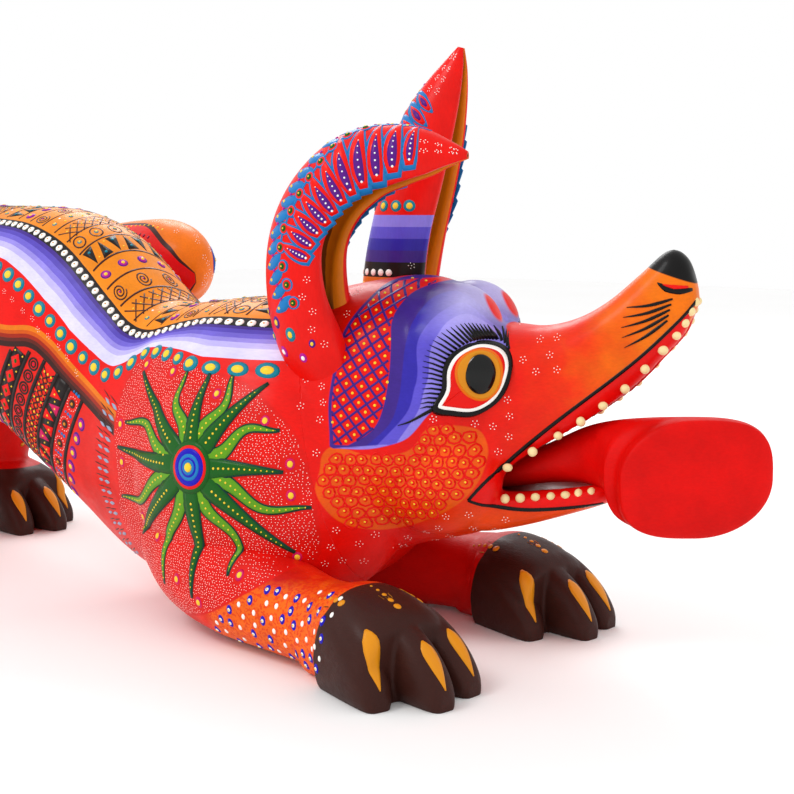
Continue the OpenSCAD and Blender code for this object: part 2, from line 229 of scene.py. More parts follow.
LOWER_JAW = [
    [-80, 84, -76, 66, 34], [-44, 90, -44, 65, 39], [-20, 92, -22, 69, 34],
    [4, 94, 4, 77, 28], [24, 97, 24, 84, 22], [34, 98, 34, 89, 15], [38, 97, 38, 93, 7]]
MOUTH = [
    [-46, 98, -46, 90, 22], [-20, 118, -20, 87, 26], [4, 140, 4, 88, 21],
    [28, 160, 28, 91, 15], [50, 180, 50, 95, 8], [76, 192, 76, 98, 5]]
SEAM_TOP, SEAM_LOW = Vector((-150, 0, 198)), Vector((-110, 0, 42))

VOXEL = 1.35


def upright_skin(rows, k_up, k_low, n=96, m=8):
    return skin([upright_ring(r, k_up, k_low, n) for r in smooth_rows(rows, m)])


head_parts = [upright_skin(SKULL, 0.94, 0.94), upright_skin(UPPER_JAW, 0.95, 0.55),
              upright_skin(LOWER_JAW, 0.55, 0.95)]
# Brow, temple, eyeball and cheek on each side.
for s in (-1, 1):
    head_parts += [ball((-60, s * 17, 180), 27), ball((-66, s * 30, 166), 1, (30, 24, 30)),
                   ball((-43, s * 25, 160), 17.5), ball((-66, s * 32, 100), 1, (38, 26, 34))]
# The raised shoulder muscles are low pillows that stand out of the flanks.
shoulders = [ball((-173, s * 26, 92), 1, (92, 56, 80)) for s in (-1, 1)]
parts = [upright_skin(TORSO, 0.94, 0.94)] + head_parts + shoulders
whole = mesh_object("whole", *join(parts))
mouth = mesh_object("mouth", *upright_skin(MOUTH, 0.9, 0.9, 64, 6))
MOUTH_TREE = tree_of(mouth)
carve(whole, VOXEL, 10, mouth, 5)


def sliced(ob, name, point, normal):
    """A closed copy of ob's part on the normal's side of the plane."""
    bm = bmesh.new()
    bm.from_mesh(ob.data)
    geom = bm.verts[:] + bm.edges[:] + bm.faces[:]
    cut = bmesh.ops.bisect_plane(bm, geom=geom, plane_co=point, plane_no=normal,
                                 clear_inner=True)["geom_cut"]
    edges = [e for e in cut if isinstance(e, bmesh.types.BMEdge)]
    caps = bmesh.ops.contextual_create(bm, geom=edges)["faces"]
    bmesh.ops.triangulate(bm, faces=caps)
    me = bpy.data.meshes.new(name)
    bm.to_mesh(me)
    bm.free()
    return linked(name, me)


seam_normal = Vector((0, 1, 0)).cross(SEAM_TOP - SEAM_LOW).normalized()
head = sliced(whole, "head_carved", SEAM_LOW, seam_normal)
torso = sliced(whole, "torso_carved", SEAM_LOW, -seam_normal)
bpy.data.objects.remove(whole)

# ---------- ears ----------

RIGHT_EAR = [
    [-120, -38, 146, 17, 19, 14], [-128, -44, 172, 24, 26, 17], [-135, -47, 200, 26, 25, 12],
    [-135, -47, 228, 26, 24, 8], [-125, -47, 250, 25, 24, 7], [-107, -46, 266, 24, 24, 6],
    [-86, -45, 272.5, 19, 21.5, 5], [-68, -45, 275, 13, 16, 4], [-55, -45, 276, 7, 8.5, 3],
    [-45, -45, 276, 2, 2.5, 1]]
LEFT_EAR = [
    [-112, 34, 150, 15, 19, 14], [-112, 39, 178, 21, 26, 17], [-110, 41, 208, 22, 27, 12],
    [-105, 41, 236, 22, 26.5, 8], [-98, 41, 264, 20, 26, 7], [-91, 41, 292, 17, 24, 6],
    [-84, 41, 314, 12, 17, 5], [-79, 41, 330, 7, 9.5, 3], [-76, 41, 342, 2, 2.5, 1]]
EAR_ARC = math.radians(122)
EAR_STEPS = 10


def ear_row(rows, u):
    """Row and forward direction at u table rows up the ear."""
    ra, rb = between(rows, max(u - 0.08, 0)), between(rows, min(u + 0.08, len(rows) - 1))
    along = np.array([rb[0] - ra[0], 0, rb[2] - ra[2]])
    return between(rows, u), np.cross((0, 1, 0), along / np.linalg.norm(along))


def ear_skin(rows, nb=56, nf=44, nr=6):
    """Horn-shaped ear with rounded rims, and for each vertex its place on the ear:
    height in table rows, angle from the back (or from the hollow's middle) and 1 if hollow."""
    rows = np.array(rows, float)
    rings, place = [], []
    for u in np.linspace(0, len(rows) - 1, (len(rows) - 1) * EAR_STEPS + 1):
        r, front = ear_row(rows, u)
        c, w, d, t = r[:3], max(r[3], 0.4), max(r[4], 0.4), r[5]
        side = np.array((0.0, 1.0, 0.0))

        def at(q, inset):
            return c - front * (d - inset) * math.cos(q) + side * (w - inset) * math.sin(q)
        ring_pts, info = [], []
        for q in np.linspace(EAR_ARC, -EAR_ARC, nb + 1):
            ring_pts.append(at(q, 0.0))
            info.append((u, q / EAR_ARC, 0.0))
        for g in (-1, 1):
            if g == 1:
                for q in np.linspace(-EAR_ARC, EAR_ARC, nf + 1):
                    ring_pts.append(at(q, t))
                    info.append((u, q / EAR_ARC, 1.0))
            for k in range(1, nr):
                f = k / nr if g == -1 else 1 - k / nr
                bulge = math.sin(math.pi * k / nr) * t * 0.42
                q = g * EAR_ARC
                tangent = front * math.sin(abs(q)) + side * g * math.cos(q)
                ring_pts.append(at(q, t * f) + tangent * bulge)
                info.append((u, g, f))
        rings.append(np.array(ring_pts))
        place += info
    v, f = skin(rings)
    return v, f, np.array(place)


EARS = {}
for ear_name, ear_rows in (("right_ear", RIGHT_EAR), ("left_ear", LEFT_EAR)):
    v, f, info = ear_skin(ear_rows)
    EARS[ear_name] = (mesh_object(ear_name + "_carved", v, f), info)
right_ear, left_ear = EARS["right_ear"][0], EARS["left_ear"][0]

# ---------- tongue, tail, legs ----------

TONGUE = [
    [-38, 0, 96, 8, 7, 0], [-24, 0, 100, 10, 9, 0], [-6, -1, 106, 12, 12, 2],
    [12, -4, 111, 13, 16, 8], [28, -9, 112, 17, 20, 22], [45, -14, 110, 25, 25, 44],
    [62, -19, 107, 36, 30, 62], [74, -23, 106, 41, 32, 68], [78, -31, 106, 41, 32, 68],
    [79.2, -34, 106, 39, 30.5, 68], [79.8, -35.4, 106, 30, 23.5, 68], [80, -36, 106, 8, 6, 68]]
TAIL = [
    [-568, 0, 184, 15, 14], [-580, 6, 190, 18, 17], [-591, 30, 198, 22, 21],
    [-582, 62, 203, 25, 24], [-554, 88, 205, 27, 26], [-510, 101, 205, 28, 28],
    [-460, 103, 206, 28, 29], [-412, 98, 208, 28, 31], [-374, 89, 208, 27, 31],
    [-350, 83, 204, 21, 25], [-339, 80, 201, 11, 14], [-335, 79, 200, 4, 5]]
RIGHT_FOREARM = [
    [-226, -42, 56, 24, 30], [-196, -47, 42, 30, 34], [-160, -54, 34, 29, 32],
    [-120, -58, 28, 26, 27], [-88, -62, 25, 24, 24], [-66, -65, 25, 25, 25]]
LEFT_FOREARM = [
    [-236, 42, 56, 24, 30], [-208, 50, 42, 30, 34], [-174, 62, 34, 29, 32],
    [-136, 73, 28, 26, 27], [-104, 81, 25, 24, 24], [-80, 85, 25, 25, 25]]
HIND_THIGH = [
    [-506, -34, 196, 20, 30], [-514, -48, 160, 24, 36], [-526, -55, 120, 23, 31],
    [-538, -57, 82, 21, 25], [-546, -57, 50, 20, 22], [-540, -57, 27, 23, 27]]
PAW = [[-14, 23, 44], [0, 25, 50], [16, 28, 53], [32, 31, 50], [46, 31, 44], [52, 29, 38]]
TOE = [[30, 10, 44], [46, 11, 41], [60, 11, 33], [70, 10, 24], [77, 8, 14], [80, 5, 8]]
TOE_SPREAD = 17.8
TOE_BACK = [18, 0, 5]
TOE_FAN = 7
SOLE = 3


def tongue_skin():
    rings = []
    for r in smooth_rows(TONGUE, 8):
        a = math.radians(r[5])
        t = np.linspace(0, 2 * math.pi, 96, endpoint=False)
        leaf = 1 - 0.38 * min(max((r[3] - 17) / 20, 0), 1)
        k = np.where(np.sin(2 * t) > 0, leaf, 1.0)
        across = np.outer(r[3] * spow(np.cos(t), k), (math.sin(a), math.cos(a), 0))
        rings.append(np.array(r[:3]) + across + np.outer(r[4] * spow(np.sin(t), k), (0, 0, 1)))
    return skin(rings)


def limb_skin(rows, k, flat=False, n=64, m=8):
    rows = smooth_rows(rows, m)
    rings = []
    for i, r in enumerate(rows):
        a, b = rows[max(i - 1, 0)][:3], rows[min(i + 1, len(rows) - 1)][:3]
        along = b - a
        if flat:
            along[1] = 0
        along /= np.linalg.norm(along)
        across = np.array((0.0, -1.0, 0.0)) if flat else np.cross((0, 0, 1), along)
        across /= np.linalg.norm(across)
        up = np.cross((0, 1, 0), along) if flat else np.cross(along, across)
        rings.append(ring(r[:3], across, up, r[3], r[4], k, k, n))
    return skin(rings)


def turned(v, at, turn):
    c, s = math.cos(math.radians(turn)), math.sin(math.radians(turn))
    v = np.asarray(v, float)
    return np.stack([v[:, 0] * c - v[:, 1] * s, v[:, 0] * s + v[:, 1] * c, v[:, 2]], 1) + at


def paw_parts(at, turn):
    """A pad and three toes, kept apart by deep grooves. They reach below the ground at first."""
    out = []

    def rings(rows, y, n):
        return [ring((r[0], y, (r[2] - SOLE) / 2), (0, 1, 0), (0, 0, 1), r[1],
                     (r[2] + SOLE) / 2, 0.8, 0.8, n) for r in smooth_rows(rows, 6)]
    v, f = skin(rings(PAW, 0, 64))
    out.append((turned(v, at, turn), f))
    for k in (-1, 0, 1):
        v, f = skin(rings(TOE, TOE_SPREAD * k, 48))
        v = turned(v - (TOE_BACK[k + 1], 0, 0), 0, TOE_FAN * k)
        out.append((turned(v, at, turn), f))
    return out


tongue = mesh_object("tongue_carved", *tongue_skin())
tail = mesh_object("tail_carved", *limb_skin(TAIL, 0.96))
FRONT_PAWS = {-1: ((-67, -65, 0), -9), 1: ((-80, 85, 0), -7)}
HIND_PAW = ((-556, -57, 0), -3)
legs = {}
for name, limb, paws, flip in [
        ("right_front_leg", limb_skin(RIGHT_FOREARM, 0.95), FRONT_PAWS[-1], False),
        ("left_front_leg", limb_skin(LEFT_FOREARM, 0.95), FRONT_PAWS[1], False),
        ("right_hind_leg", limb_skin(HIND_THIGH, 0.95, True), HIND_PAW, False),
        ("left_hind_leg", limb_skin(HIND_THIGH, 0.95, True), HIND_PAW, True)]:
    v, f = join([limb] + paw_parts(*paws))
    if flip:
        v = v * (1, -1, 1)
        f = [q[::-1] for q in f]
    ob = mesh_object(name + "_carved", v, f)
    carve(ob, 1.0, 5)
    co = coords(ob)
    co[:, 2] = np.maximum(co[:, 2], 0.0)
    set_coords(ob, co)
    legs[name] = ob

# ---------- fields on the carved skin ----------

def cast(tree, start, way):
    """Where rays first meet a surface: points, outward normals and which rays met it."""
    p, n, ok = np.array(start, float), np.array(way, float) * -1.0, np.ones(len(start), bool)
    for i, (a, d) in enumerate(zip(start, way)):
        hit = tree.ray_cast(Vector(a), Vector(d))
        if hit[0] is None:
            ok[i] = False
        else:
            p[i], n[i] = hit[0], hit[1]
            if np.dot(n[i], d) > 0:
                n[i] = -n[i]
    return p, n, ok


body_tree = trees_of([(torso, False), (head, False)])
shoulder_tree = trees_of([(torso, True), (legs["right_front_leg"], False),
                          (legs["left_front_leg"], False)])
# A grid over the back: every few units along it and every few degrees round it.
ALONG, ROUND = 3.0, 4.0
SPINE_X = np.arange(-563, -146, ALONG)
SPINE_T = np.radians(np.arange(0, 152, ROUND))


def core_height(x):
    return np.interp(x, [-566, -520, -410, -365, -326, -295, -150],
                     [183, 175, 170, 156, 136, 115, 110])


a0, d0 = [], []
for x in SPINE_X:
    for t in SPINE_T:
        way = np.array((0, math.sin(t), math.cos(t)))
        a0.append(np.array((x, 0, core_height(x))) + way * 220)
        d0.append(-way)
SP, SN, _ = cast(body_tree, a0, d0)
SP = SP.reshape(len(SPINE_X), len(SPINE_T), 3)
SN = SN.reshape(SP.shape)
SW = np.concatenate([np.zeros((len(SPINE_X), 1)),
                     np.cumsum(np.linalg.norm(np.diff(SP, axis=1), axis=2), axis=1)], axis=1)


def strip_half(x):
    return np.interp(x, [-560, -420, -386, -365, -342, -320, -270, -250, -229, -206, -150],
                     [30, 36, 37, 39, 41, 44, 44, 46, 44, 41, 43])


def border_half(x):
    """Distance over the skin from the middle of the back to the row of teal ovals."""
    return np.interp(x, [-560, -420, -378, -357, -337, -313, -286, -270, -250, -240, -225, -202,
                         -187, -150], [58, 68, 72, 78, 85, 88, 81, 76, 64, 60, 63, 70, 75, 74])


def spine_w(p):
    """How far out from the middle of the back: 1 at the white ovals, 2 at the teal ovals."""
    x = np.clip((p[:, 0] - SPINE_X[0]) / ALONG, 0, len(SPINE_X) - 1.001)
    t = np.arctan2(np.abs(p[:, 1]), p[:, 2] - core_height(p[:, 0]))
    j = np.clip(np.degrees(t) / ROUND, 0, len(SPINE_T) - 1.001)
    i0, j0 = x.astype(int), j.astype(int)
    fx, fj = x - i0, j - j0
    w = ((SW[i0, j0] * (1 - fj) + SW[i0, j0 + 1] * fj) * (1 - fx)
         + (SW[i0 + 1, j0] * (1 - fj) + SW[i0 + 1, j0 + 1] * fj) * fx)
    half, border = strip_half(p[:, 0]), border_half(p[:, 0])
    return np.where(w < half, w / half, 1 + (w - half) / (border - half))


def polyline_distance(pts, line, closed=False):
    """Distance from 2-D points to a polyline."""
    line = np.array(line, float)
    if closed:
        line = np.vstack([line, line[:1]])
    best = np.full(len(pts), 1e9)
    for a, b in zip(line[:-1], line[1:]):
        ab = b - a
        t = np.clip(((pts - a) @ ab) / (ab @ ab + 1e-9), 0, 1)
        best = np.minimum(best, np.linalg.norm(pts - (a + t[:, None] * ab), axis=1))
    return best


def inside(pts, poly):
    poly = np.array(poly, float)
    out = np.zeros(len(pts), bool)
    x, y = pts[:, 0], pts[:, 1]
    for (ax, ay), (bx, by) in zip(poly, np.roll(poly, -1, axis=0)):
        crosses = (ay > y) != (by > y)
        with np.errstate(divide="ignore", invalid="ignore"):
            at = (bx - ax) * (y - ay) / (by - ay + 1e-12) + ax
        out ^= crosses & (x < at)
    return out


def signed(pts, poly):
    """Distance to a closed outline, positive inside."""
    d = polyline_distance(pts, poly, True)
    return np.where(inside(pts, poly), d, -d)


def curve(points, m=8):
    return smooth_rows(points, m)


def closed_curve(points, m=6):
    p = np.array(points, float)
    k = len(p)
    return np.array([through(p[i - 1], p[i], p[(i + 1) % k], p[(i + 2) % k], j / m)
                     for i in range(k) for j in range(m)])


# Painted areas on the side of the figure, as (forward, up). The shoulder's are as seen on
# the figure after its head is turned, the others before.
SHOULDER = closed_curve([
    (-248, 152), (-227, 163), (-185, 158), (-151, 152), (-134, 144), (-113, 126), (-103, 104),
    (-100, 80), (-104, 55), (-128, 36), (-168, 17), (-225, 9), (-256, 30), (-262, 60),
    (-256, 84), (-258, 118)])
SUN_AT = np.array((-171.0, 103.0))
BAND_TOP = curve([(-600, 188), (-500, 186), (-420, 180), (-370, 173), (-345, 173), (-328, 166),
                  (-303, 148), (-280, 135), (-262, 127), (-250, 122)])
BROW_OUT = curve([(-117, 118), (-119, 140), (-117, 163), (-115, 181), (-107, 197), (-98, 208),
                  (-79, 211), (-58, 210), (-45, 203), (-35, 188), (-29, 177), (-25, 169)])
BROW_IN = curve([(-115, 117), (-99, 117), (-87, 119), (-74, 124), (-64, 136), (-57, 144),
                 (-54, 154), (-51, 167), (-45, 174), (-37, 175), (-31, 171), (-26, 167)])
# The left edges of the brow's layers, from the crossed lines to the palest.
BROW_LAYERS = [np.vstack([curve(edge), BROW_IN[::-1]]) for edge in [
    [(-112, 117), (-107, 119), (-93, 128), (-87, 141), (-85, 159), (-86, 174), (-88, 186),
     (-86, 195), (-80, 203), (-66, 208), (-50, 206), (-36, 189), (-29, 177), (-26, 169)],
    [(-99, 117), (-84, 131), (-79, 145), (-78, 160), (-78, 174), (-76, 186), (-70, 198),
     (-57, 203), (-45, 198), (-34, 186), (-28, 175), (-26, 169)],
    [(-92, 118), (-75, 137), (-71, 151), (-70, 159), (-71, 174), (-68, 183), (-61, 192),
     (-50, 197), (-38, 188), (-30, 177), (-26, 169)],
    [(-80, 121), (-69, 138), (-66, 150), (-64, 159), (-63, 172), (-60, 180), (-55, 188),
     (-46, 191), (-36, 184), (-29, 175), (-26, 169)]]]
BROW = np.vstack([BROW_OUT, BROW_IN[::-1]])
CHEEK = closed_curve([
    (-121, 105), (-120, 114), (-114, 118), (-96, 114), (-80, 115), (-71, 119), (-64, 129),
    (-53, 131), (-40, 128), (-35, 121), (-34, 111), (-37, 100), (-46, 89), (-61, 80), (-85, 70),
    (-99, 71), (-111, 76), (-119, 85), (-123, 95)])
UPPER_LIP = curve([(-42, 90), (-32, 102), (-19, 115), (3, 134), (24, 151), (44, 168), (60, 184),
                   (68, 193), (72, 199)])
LOWER_LIP = curve([(-42, 90), (-33, 85.5), (-20, 83.5), (-7, 83.5), (10, 85), (30, 87.5),
                   (38, 90)])
GAPE = np.vstack([UPPER_LIP, LOWER_LIP[::-1]])


def band_top(x):
    """Height of the brown band's upper edge on the flank."""
    return np.interp(x, BAND_TOP[:, 0], BAND_TOP[:, 1])


def store(ob, name, values):
    kind = "FLOAT" if np.ndim(values) == 1 else "FLOAT_VECTOR"
    a = ob.data.attributes.new(name, kind, "POINT")
    a.data.foreach_set("value" if kind == "FLOAT" else "vector",
                       np.asarray(values, np.float32).ravel())


def body_fields(ob, is_head):
    co = coords(ob)
    side = co[:, [0, 2]]
    store(ob, "plain", co)
    store(ob, "spine", spine_w(co) if not is_head else np.full(len(co), 9.0))
    turned_side = bend(co, False)[:, [0, 2]]
    store(ob, "shoulder", signed(turned_side, SHOULDER))
    if is_head:
        store(ob, "brow", signed(side, BROW))
        for k, loop in enumerate(BROW_LAYERS):
            store(ob, "brow%d" % k, signed(side, loop))
        store(ob, "cheek", signed(side, CHEEK) - np.clip(12 - np.abs(co[:, 1]), 0, 99))
        store(ob, "gape", signed(side, GAPE))
        store(ob, "hollow", np.array([MOUTH_TREE.find_nearest(Vector(c))[3] or 0 for c in co]))
    else:
        x = co[:, 0]
        slope = (band_top(x + 3) - band_top(x - 3)) / 6
        store(ob, "band", (band_top(x) - co[:, 2]) / np.sqrt(1 + slope ** 2))


# ---------- paints ----------

# Low, because the paint is hand-rubbed and the studio bright all round.
SHEEN, VARNISH = 0.13, 0.3
# Direction of the soft highlight painted on the pupil.
EYE_LIGHT = (-0.10, -0.80, 0.59)


def srgb(r, g, b):
    return tuple(((c / 255 + 0.055) / 1.055) ** 2.4 if c > 10 else c / 3294.6
                 for c in (r, g, b)) + (1.0,)


class Graph:
    """Short names for the nodes of one material."""

    def __init__(self, name):
        self.material = bpy.data.materials.new(name)
        self.material.use_nodes = True
        self.tree = self.material.node_tree
        self.shader = self.tree.nodes["Principled BSDF"]

    def put(self, socket, value):
        if isinstance(value, bpy.types.NodeSocket):
            self.tree.links.new(value, socket)
        elif value is not None:
            socket.default_value = value

    def field(self, name, out="Fac"):
        n = self.tree.nodes.new("ShaderNodeAttribute")
        n.attribute_name = name
        return n.outputs[out]

    def axis(self, name, k):
        n = self.tree.nodes.new("ShaderNodeSeparateXYZ")
        self.put(n.inputs[0], self.field(name, "Vector"))
        return n.outputs[k]

    def math(self, op, a, b=None, c=None, clamp=False):
        n = self.tree.nodes.new("ShaderNodeMath")
        n.operation, n.use_clamp = op, clamp
        for socket, value in zip(n.inputs, (a, b, c)):
            self.put(socket, value)
        return n.outputs[0]

    def above(self, value, edge, width=0.35):
        """0 below the edge and 1 above it, with a soft step of the given width."""
        return self.math("MULTIPLY_ADD", value, 1 / width, 0.5 - edge / width, clamp=True)

    def ramp(self, value, low, high, stops, mode="CONSTANT"):
        n = self.tree.nodes.new("ShaderNodeValToRGB")
        n.color_ramp.interpolation = mode
        marks = n.color_ramp.elements
        span = high - low
        marks[0].position, marks[0].color = (stops[0][0] - low) / span, stops[0][1]
        marks.remove(marks[1])
        for at, colour in stops[1:]:
            marks.new((at - low) / span).color = colour
        self.put(n.inputs[0], self.math("MULTIPLY_ADD", value, 1 / span, -low / span, clamp=True))
        return n.outputs[0]

    def mix(self, fac, a, b, how="MIX"):
        n = self.tree.nodes.new("ShaderNodeMix")
        n.data_type, n.blend_type = "RGBA", how
        self.put(n.inputs[0], fac)
        self.put(n.inputs[6], a)
        self.put(n.inputs[7], b)
        return n.outputs[2]

    def noise(self, scale, detail=3.0, stretch=(1, 1, 1), where=None):
        m = self.tree.nodes.new("ShaderNodeMapping")
        m.inputs["Scale"].default_value = stretch
        self.put(m.inputs[0], where or self.field("plain", "Vector"))
        n = self.tree.nodes.new("ShaderNodeTexNoise")
        n.inputs["Scale"].default_value, n.inputs["Detail"].default_value = scale, detail
        self.put(n.inputs["Vector"], m.outputs[0])
        return n.outputs["Fac"]

    def spread(self, value, low, high):
        n = self.tree.nodes.new("ShaderNodeMapRange")
        for k, v in zip((1, 2, 3, 4), (0.3, 0.7, low, high)):
            n.inputs[k].default_value = v
        self.put(n.inputs[0], value)
        return n.outputs[0]

    def coated(self, coat, rough):
        for name, value in (("Specular IOR Level", SHEEN), ("Coat Weight", coat * VARNISH),
                            ("Coat Roughness", rough)):
            self.shader.inputs[name].default_value = value

    def bumps(self, height, strength, distance):
        b = self.tree.nodes.new("ShaderNodeBump")
        b.inputs["Strength"].default_value, b.inputs["Distance"].default_value = strength, distance
        self.put(b.inputs["Height"], height)
        self.put(self.shader.inputs["Normal"], b.outputs[0])

    def finish(self, colour, rough=0.42, coat=0.25, brush=0.25, bump=0.12, depth=0.0004,
               stretch=(0.35, 1, 1)):
        """Brushed paint under varnish, over wood that was sanded but still has some grain."""
        shade = self.spread(self.noise(0.05, 4.0), 1 - brush * 0.22, 1 + brush * 0.10)
        streak = self.spread(self.noise(0.9, 3.0, stretch), 1 - brush * 0.12, 1 + brush * 0.05)
        value = self.math("MULTIPLY", shade, streak)
        tone = self.tree.nodes.new("ShaderNodeHueSaturation")
        self.put(tone.inputs["Value"], value)
        self.put(tone.inputs["Color"], colour)
        s = self.shader
        self.put(s.inputs["Base Color"], tone.outputs[0])
        self.put(s.inputs["Roughness"], self.spread(self.noise(0.16, 3.0), rough - 0.06,
                                                    rough + 0.08))
        self.coated(coat, 0.15)
        self.bumps(self.math("ADD", self.noise(1.4, 4.0, (0.12, 1, 1)),
                             self.math("MULTIPLY", self.noise(0.12, 2.0), 1.2)), bump, depth)
        return self.material


def paint(name, colour, rough=0.38, coat=0.35, bump=0.15, painted_highlight=0):
    """One colour of thick brush paint, for raised marks. A nonzero last argument mixes a painted
    white highlight into it where the surface faces EYE_LIGHT.
    """
    g = Graph(name)
    where = g.tree.nodes.new("ShaderNodeNewGeometry").outputs["Position"]
    g.shader.inputs["Base Color"].default_value = colour
    if painted_highlight:
        to_light = g.tree.nodes.new("ShaderNodeVectorMath")
        to_light.operation = "DOT_PRODUCT"
        facing = g.tree.nodes.new("ShaderNodeNewGeometry").outputs["Normal"]
        g.tree.links.new(facing, to_light.inputs[0])
        to_light.inputs[1].default_value = EYE_LIGHT
        # Painted highlight: the colour turns white where the surface faces EYE_LIGHT.
        g.put(g.shader.inputs["Base Color"],
              g.mix(g.math("MULTIPLY", g.above(to_light.outputs["Value"], 0.955, 0.035), painted_highlight),
                    colour, WHITE))
    g.put(g.shader.inputs["Roughness"],
          g.spread(g.noise(300.0, 3.0, where=where), rough - 0.07, rough + 0.10))
    g.coated(coat, 0.12)
    g.bumps(g.noise(900.0, 3.0, (1, 1, 0.4), where=where), bump, 0.0002)
    return g.material


RED, DEEP_RED, LIP_RED = srgb(232, 14, 4), srgb(198, 12, 7), srgb(232, 8, 4)
ORANGE, GOLD, CREAM = srgb(238, 112, 12), srgb(222, 142, 22), srgb(250, 228, 168)
BROWN, DARK, INK = srgb(66, 30, 24), srgb(30, 22, 21), srgb(14, 12, 12)
SHOULDER_RED, WHITE = srgb(222, 18, 8), srgb(252, 250, 244)
# Violets from the darkest to the palest.
P1, P2, P3, P4, P5 = (srgb(64, 38, 138), srgb(52, 42, 168), srgb(94, 82, 206),
                      srgb(142, 130, 230), srgb(208, 200, 250))

PAINTS = {k: paint("paint_" + k, c, *more) for k, c, *more in [
    ("white", WHITE), ("yellow", srgb(246, 206, 52)), ("teal", srgb(10, 128, 150)),
    ("sky", srgb(24, 118, 186)), ("royal", srgb(22, 12, 178)), ("magenta", srgb(178, 20, 150)),
    ("purple", srgb(86, 22, 130)), ("rose", srgb(205, 16, 92)), ("green", srgb(14, 88, 18)),
    ("leaf", srgb(92, 152, 22)), ("pine", srgb(6, 58, 46)), ("ink", INK, 0.3), ("dark", DARK),
    ("brown", BROWN), ("red", RED), ("orange", ORANGE), ("gold", GOLD),
    ("misty", srgb(150, 165, 190)), ("violet", srgb(60, 30, 128)),
    # The pupil is glossy black with a painted white highlight on the side facing EYE_LIGHT.
    ("pupil", srgb(10, 12, 11), 0.16, 1.0, 0.03, 0.45)]}


def body_material(is_head):
    g = Graph("head_paint" if is_head else "torso_paint")
    x, z = g.axis("plain", 0), g.axis("plain", 2)
    if is_head:
        t = g.math("ADD", x, g.math("MULTIPLY_ADD", g.noise(0.06, 5.0), 50.0, -25.0))
        colour = g.ramp(t, -60, 70, [(-60, RED), (-24, srgb(234, 24, 4)), (6, srgb(236, 48, 4)),
                                     (28, srgb(239, 90, 3)), (50, srgb(241, 116, 2))], "LINEAR")
        low = g.math("MULTIPLY", g.above(z, 92, -26), g.above(x, -60, 40))
        colour = g.mix(g.math("MULTIPLY", low, 0.6), colour, srgb(236, 84, 6))
        colour = g.mix(g.above(g.field("cheek"), 0, 0.8), colour, srgb(236, 88, 6))
        layers = g.mix(g.above(g.field("brow"), 2.0, 0.5), P1, RED)
        for k, tone in enumerate((P1, P2, P3, P4)):
            layers = g.mix(g.above(g.field("brow%d" % k), 0, 0.6), layers, tone)
        # The front top of the brow goes to the palest violet: partly its palest paint, partly a
        # painted highlight where the top faces the light.
        pale_and_highlight = g.math("MULTIPLY", g.above(z, 186, 22), g.above(x, -62, 22))
        layers = g.mix(g.math("MULTIPLY", pale_and_highlight, 0.75), layers, P5)
        colour = g.mix(g.above(g.field("brow"), 0, 0.6), colour, layers)
        colour = g.mix(g.above(g.field("gape"), 0, 0.6), colour, LIP_RED)
        # Inside the mouth: red paint at the lips, darkening towards the back of the mouth as
        # painted shade.
        mouth_red_and_shade = g.ramp(x, -50, 60, [(-46, srgb(70, 4, 6)), (0, srgb(150, 6, 8)),
                                     (50, srgb(220, 12, 8))], "LINEAR")
        colour = g.mix(g.above(g.field("hollow"), 1.6, -1.6), colour, mouth_red_and_shade)
        cap = g.math("MULTIPLY_ADD", g.math("SUBTRACT", x, 72), 0.32,
                     g.math("SUBTRACT", z, 207.8))
        nose = g.math("MINIMUM", cap, g.math("SUBTRACT", x, 41.5))
        colour = g.mix(g.above(nose, 0, 0.6), colour, INK)
        return g.finish(colour, 0.40, 0.3, 0.6)
    q, band = g.field("spine"), g.field("band")
    colour = g.ramp(band, -10, 40, [
        (-10, RED), (0, srgb(226, 118, 18)), (3.2, srgb(206, 84, 14)), (5.6, srgb(158, 38, 18)),
        (8, srgb(96, 34, 26)), (10.5, srgb(58, 28, 24)), (14, srgb(226, 24, 10))])
    colour = g.mix(g.above(x, -249, 6), colour, RED)
    colour = g.mix(g.above(g.field("shoulder"), 0, 0.8), colour, SHOULDER_RED)
    strip = g.ramp(q, 0, 3, [
        (0, srgb(238, 138, 20)), (0.9, DARK), (1.1, P1), (1.17, srgb(84, 68, 180)),
        (1.26, srgb(112, 98, 208)), (1.36, srgb(150, 138, 226)), (1.46, srgb(190, 181, 243)),
        (1.58, srgb(220, 215, 251)), (1.8, RED)])
    colour = g.mix(g.above(q, 1.8, -0.01), colour, strip)
    return g.finish(colour, 0.42, 0.25, 0.6)


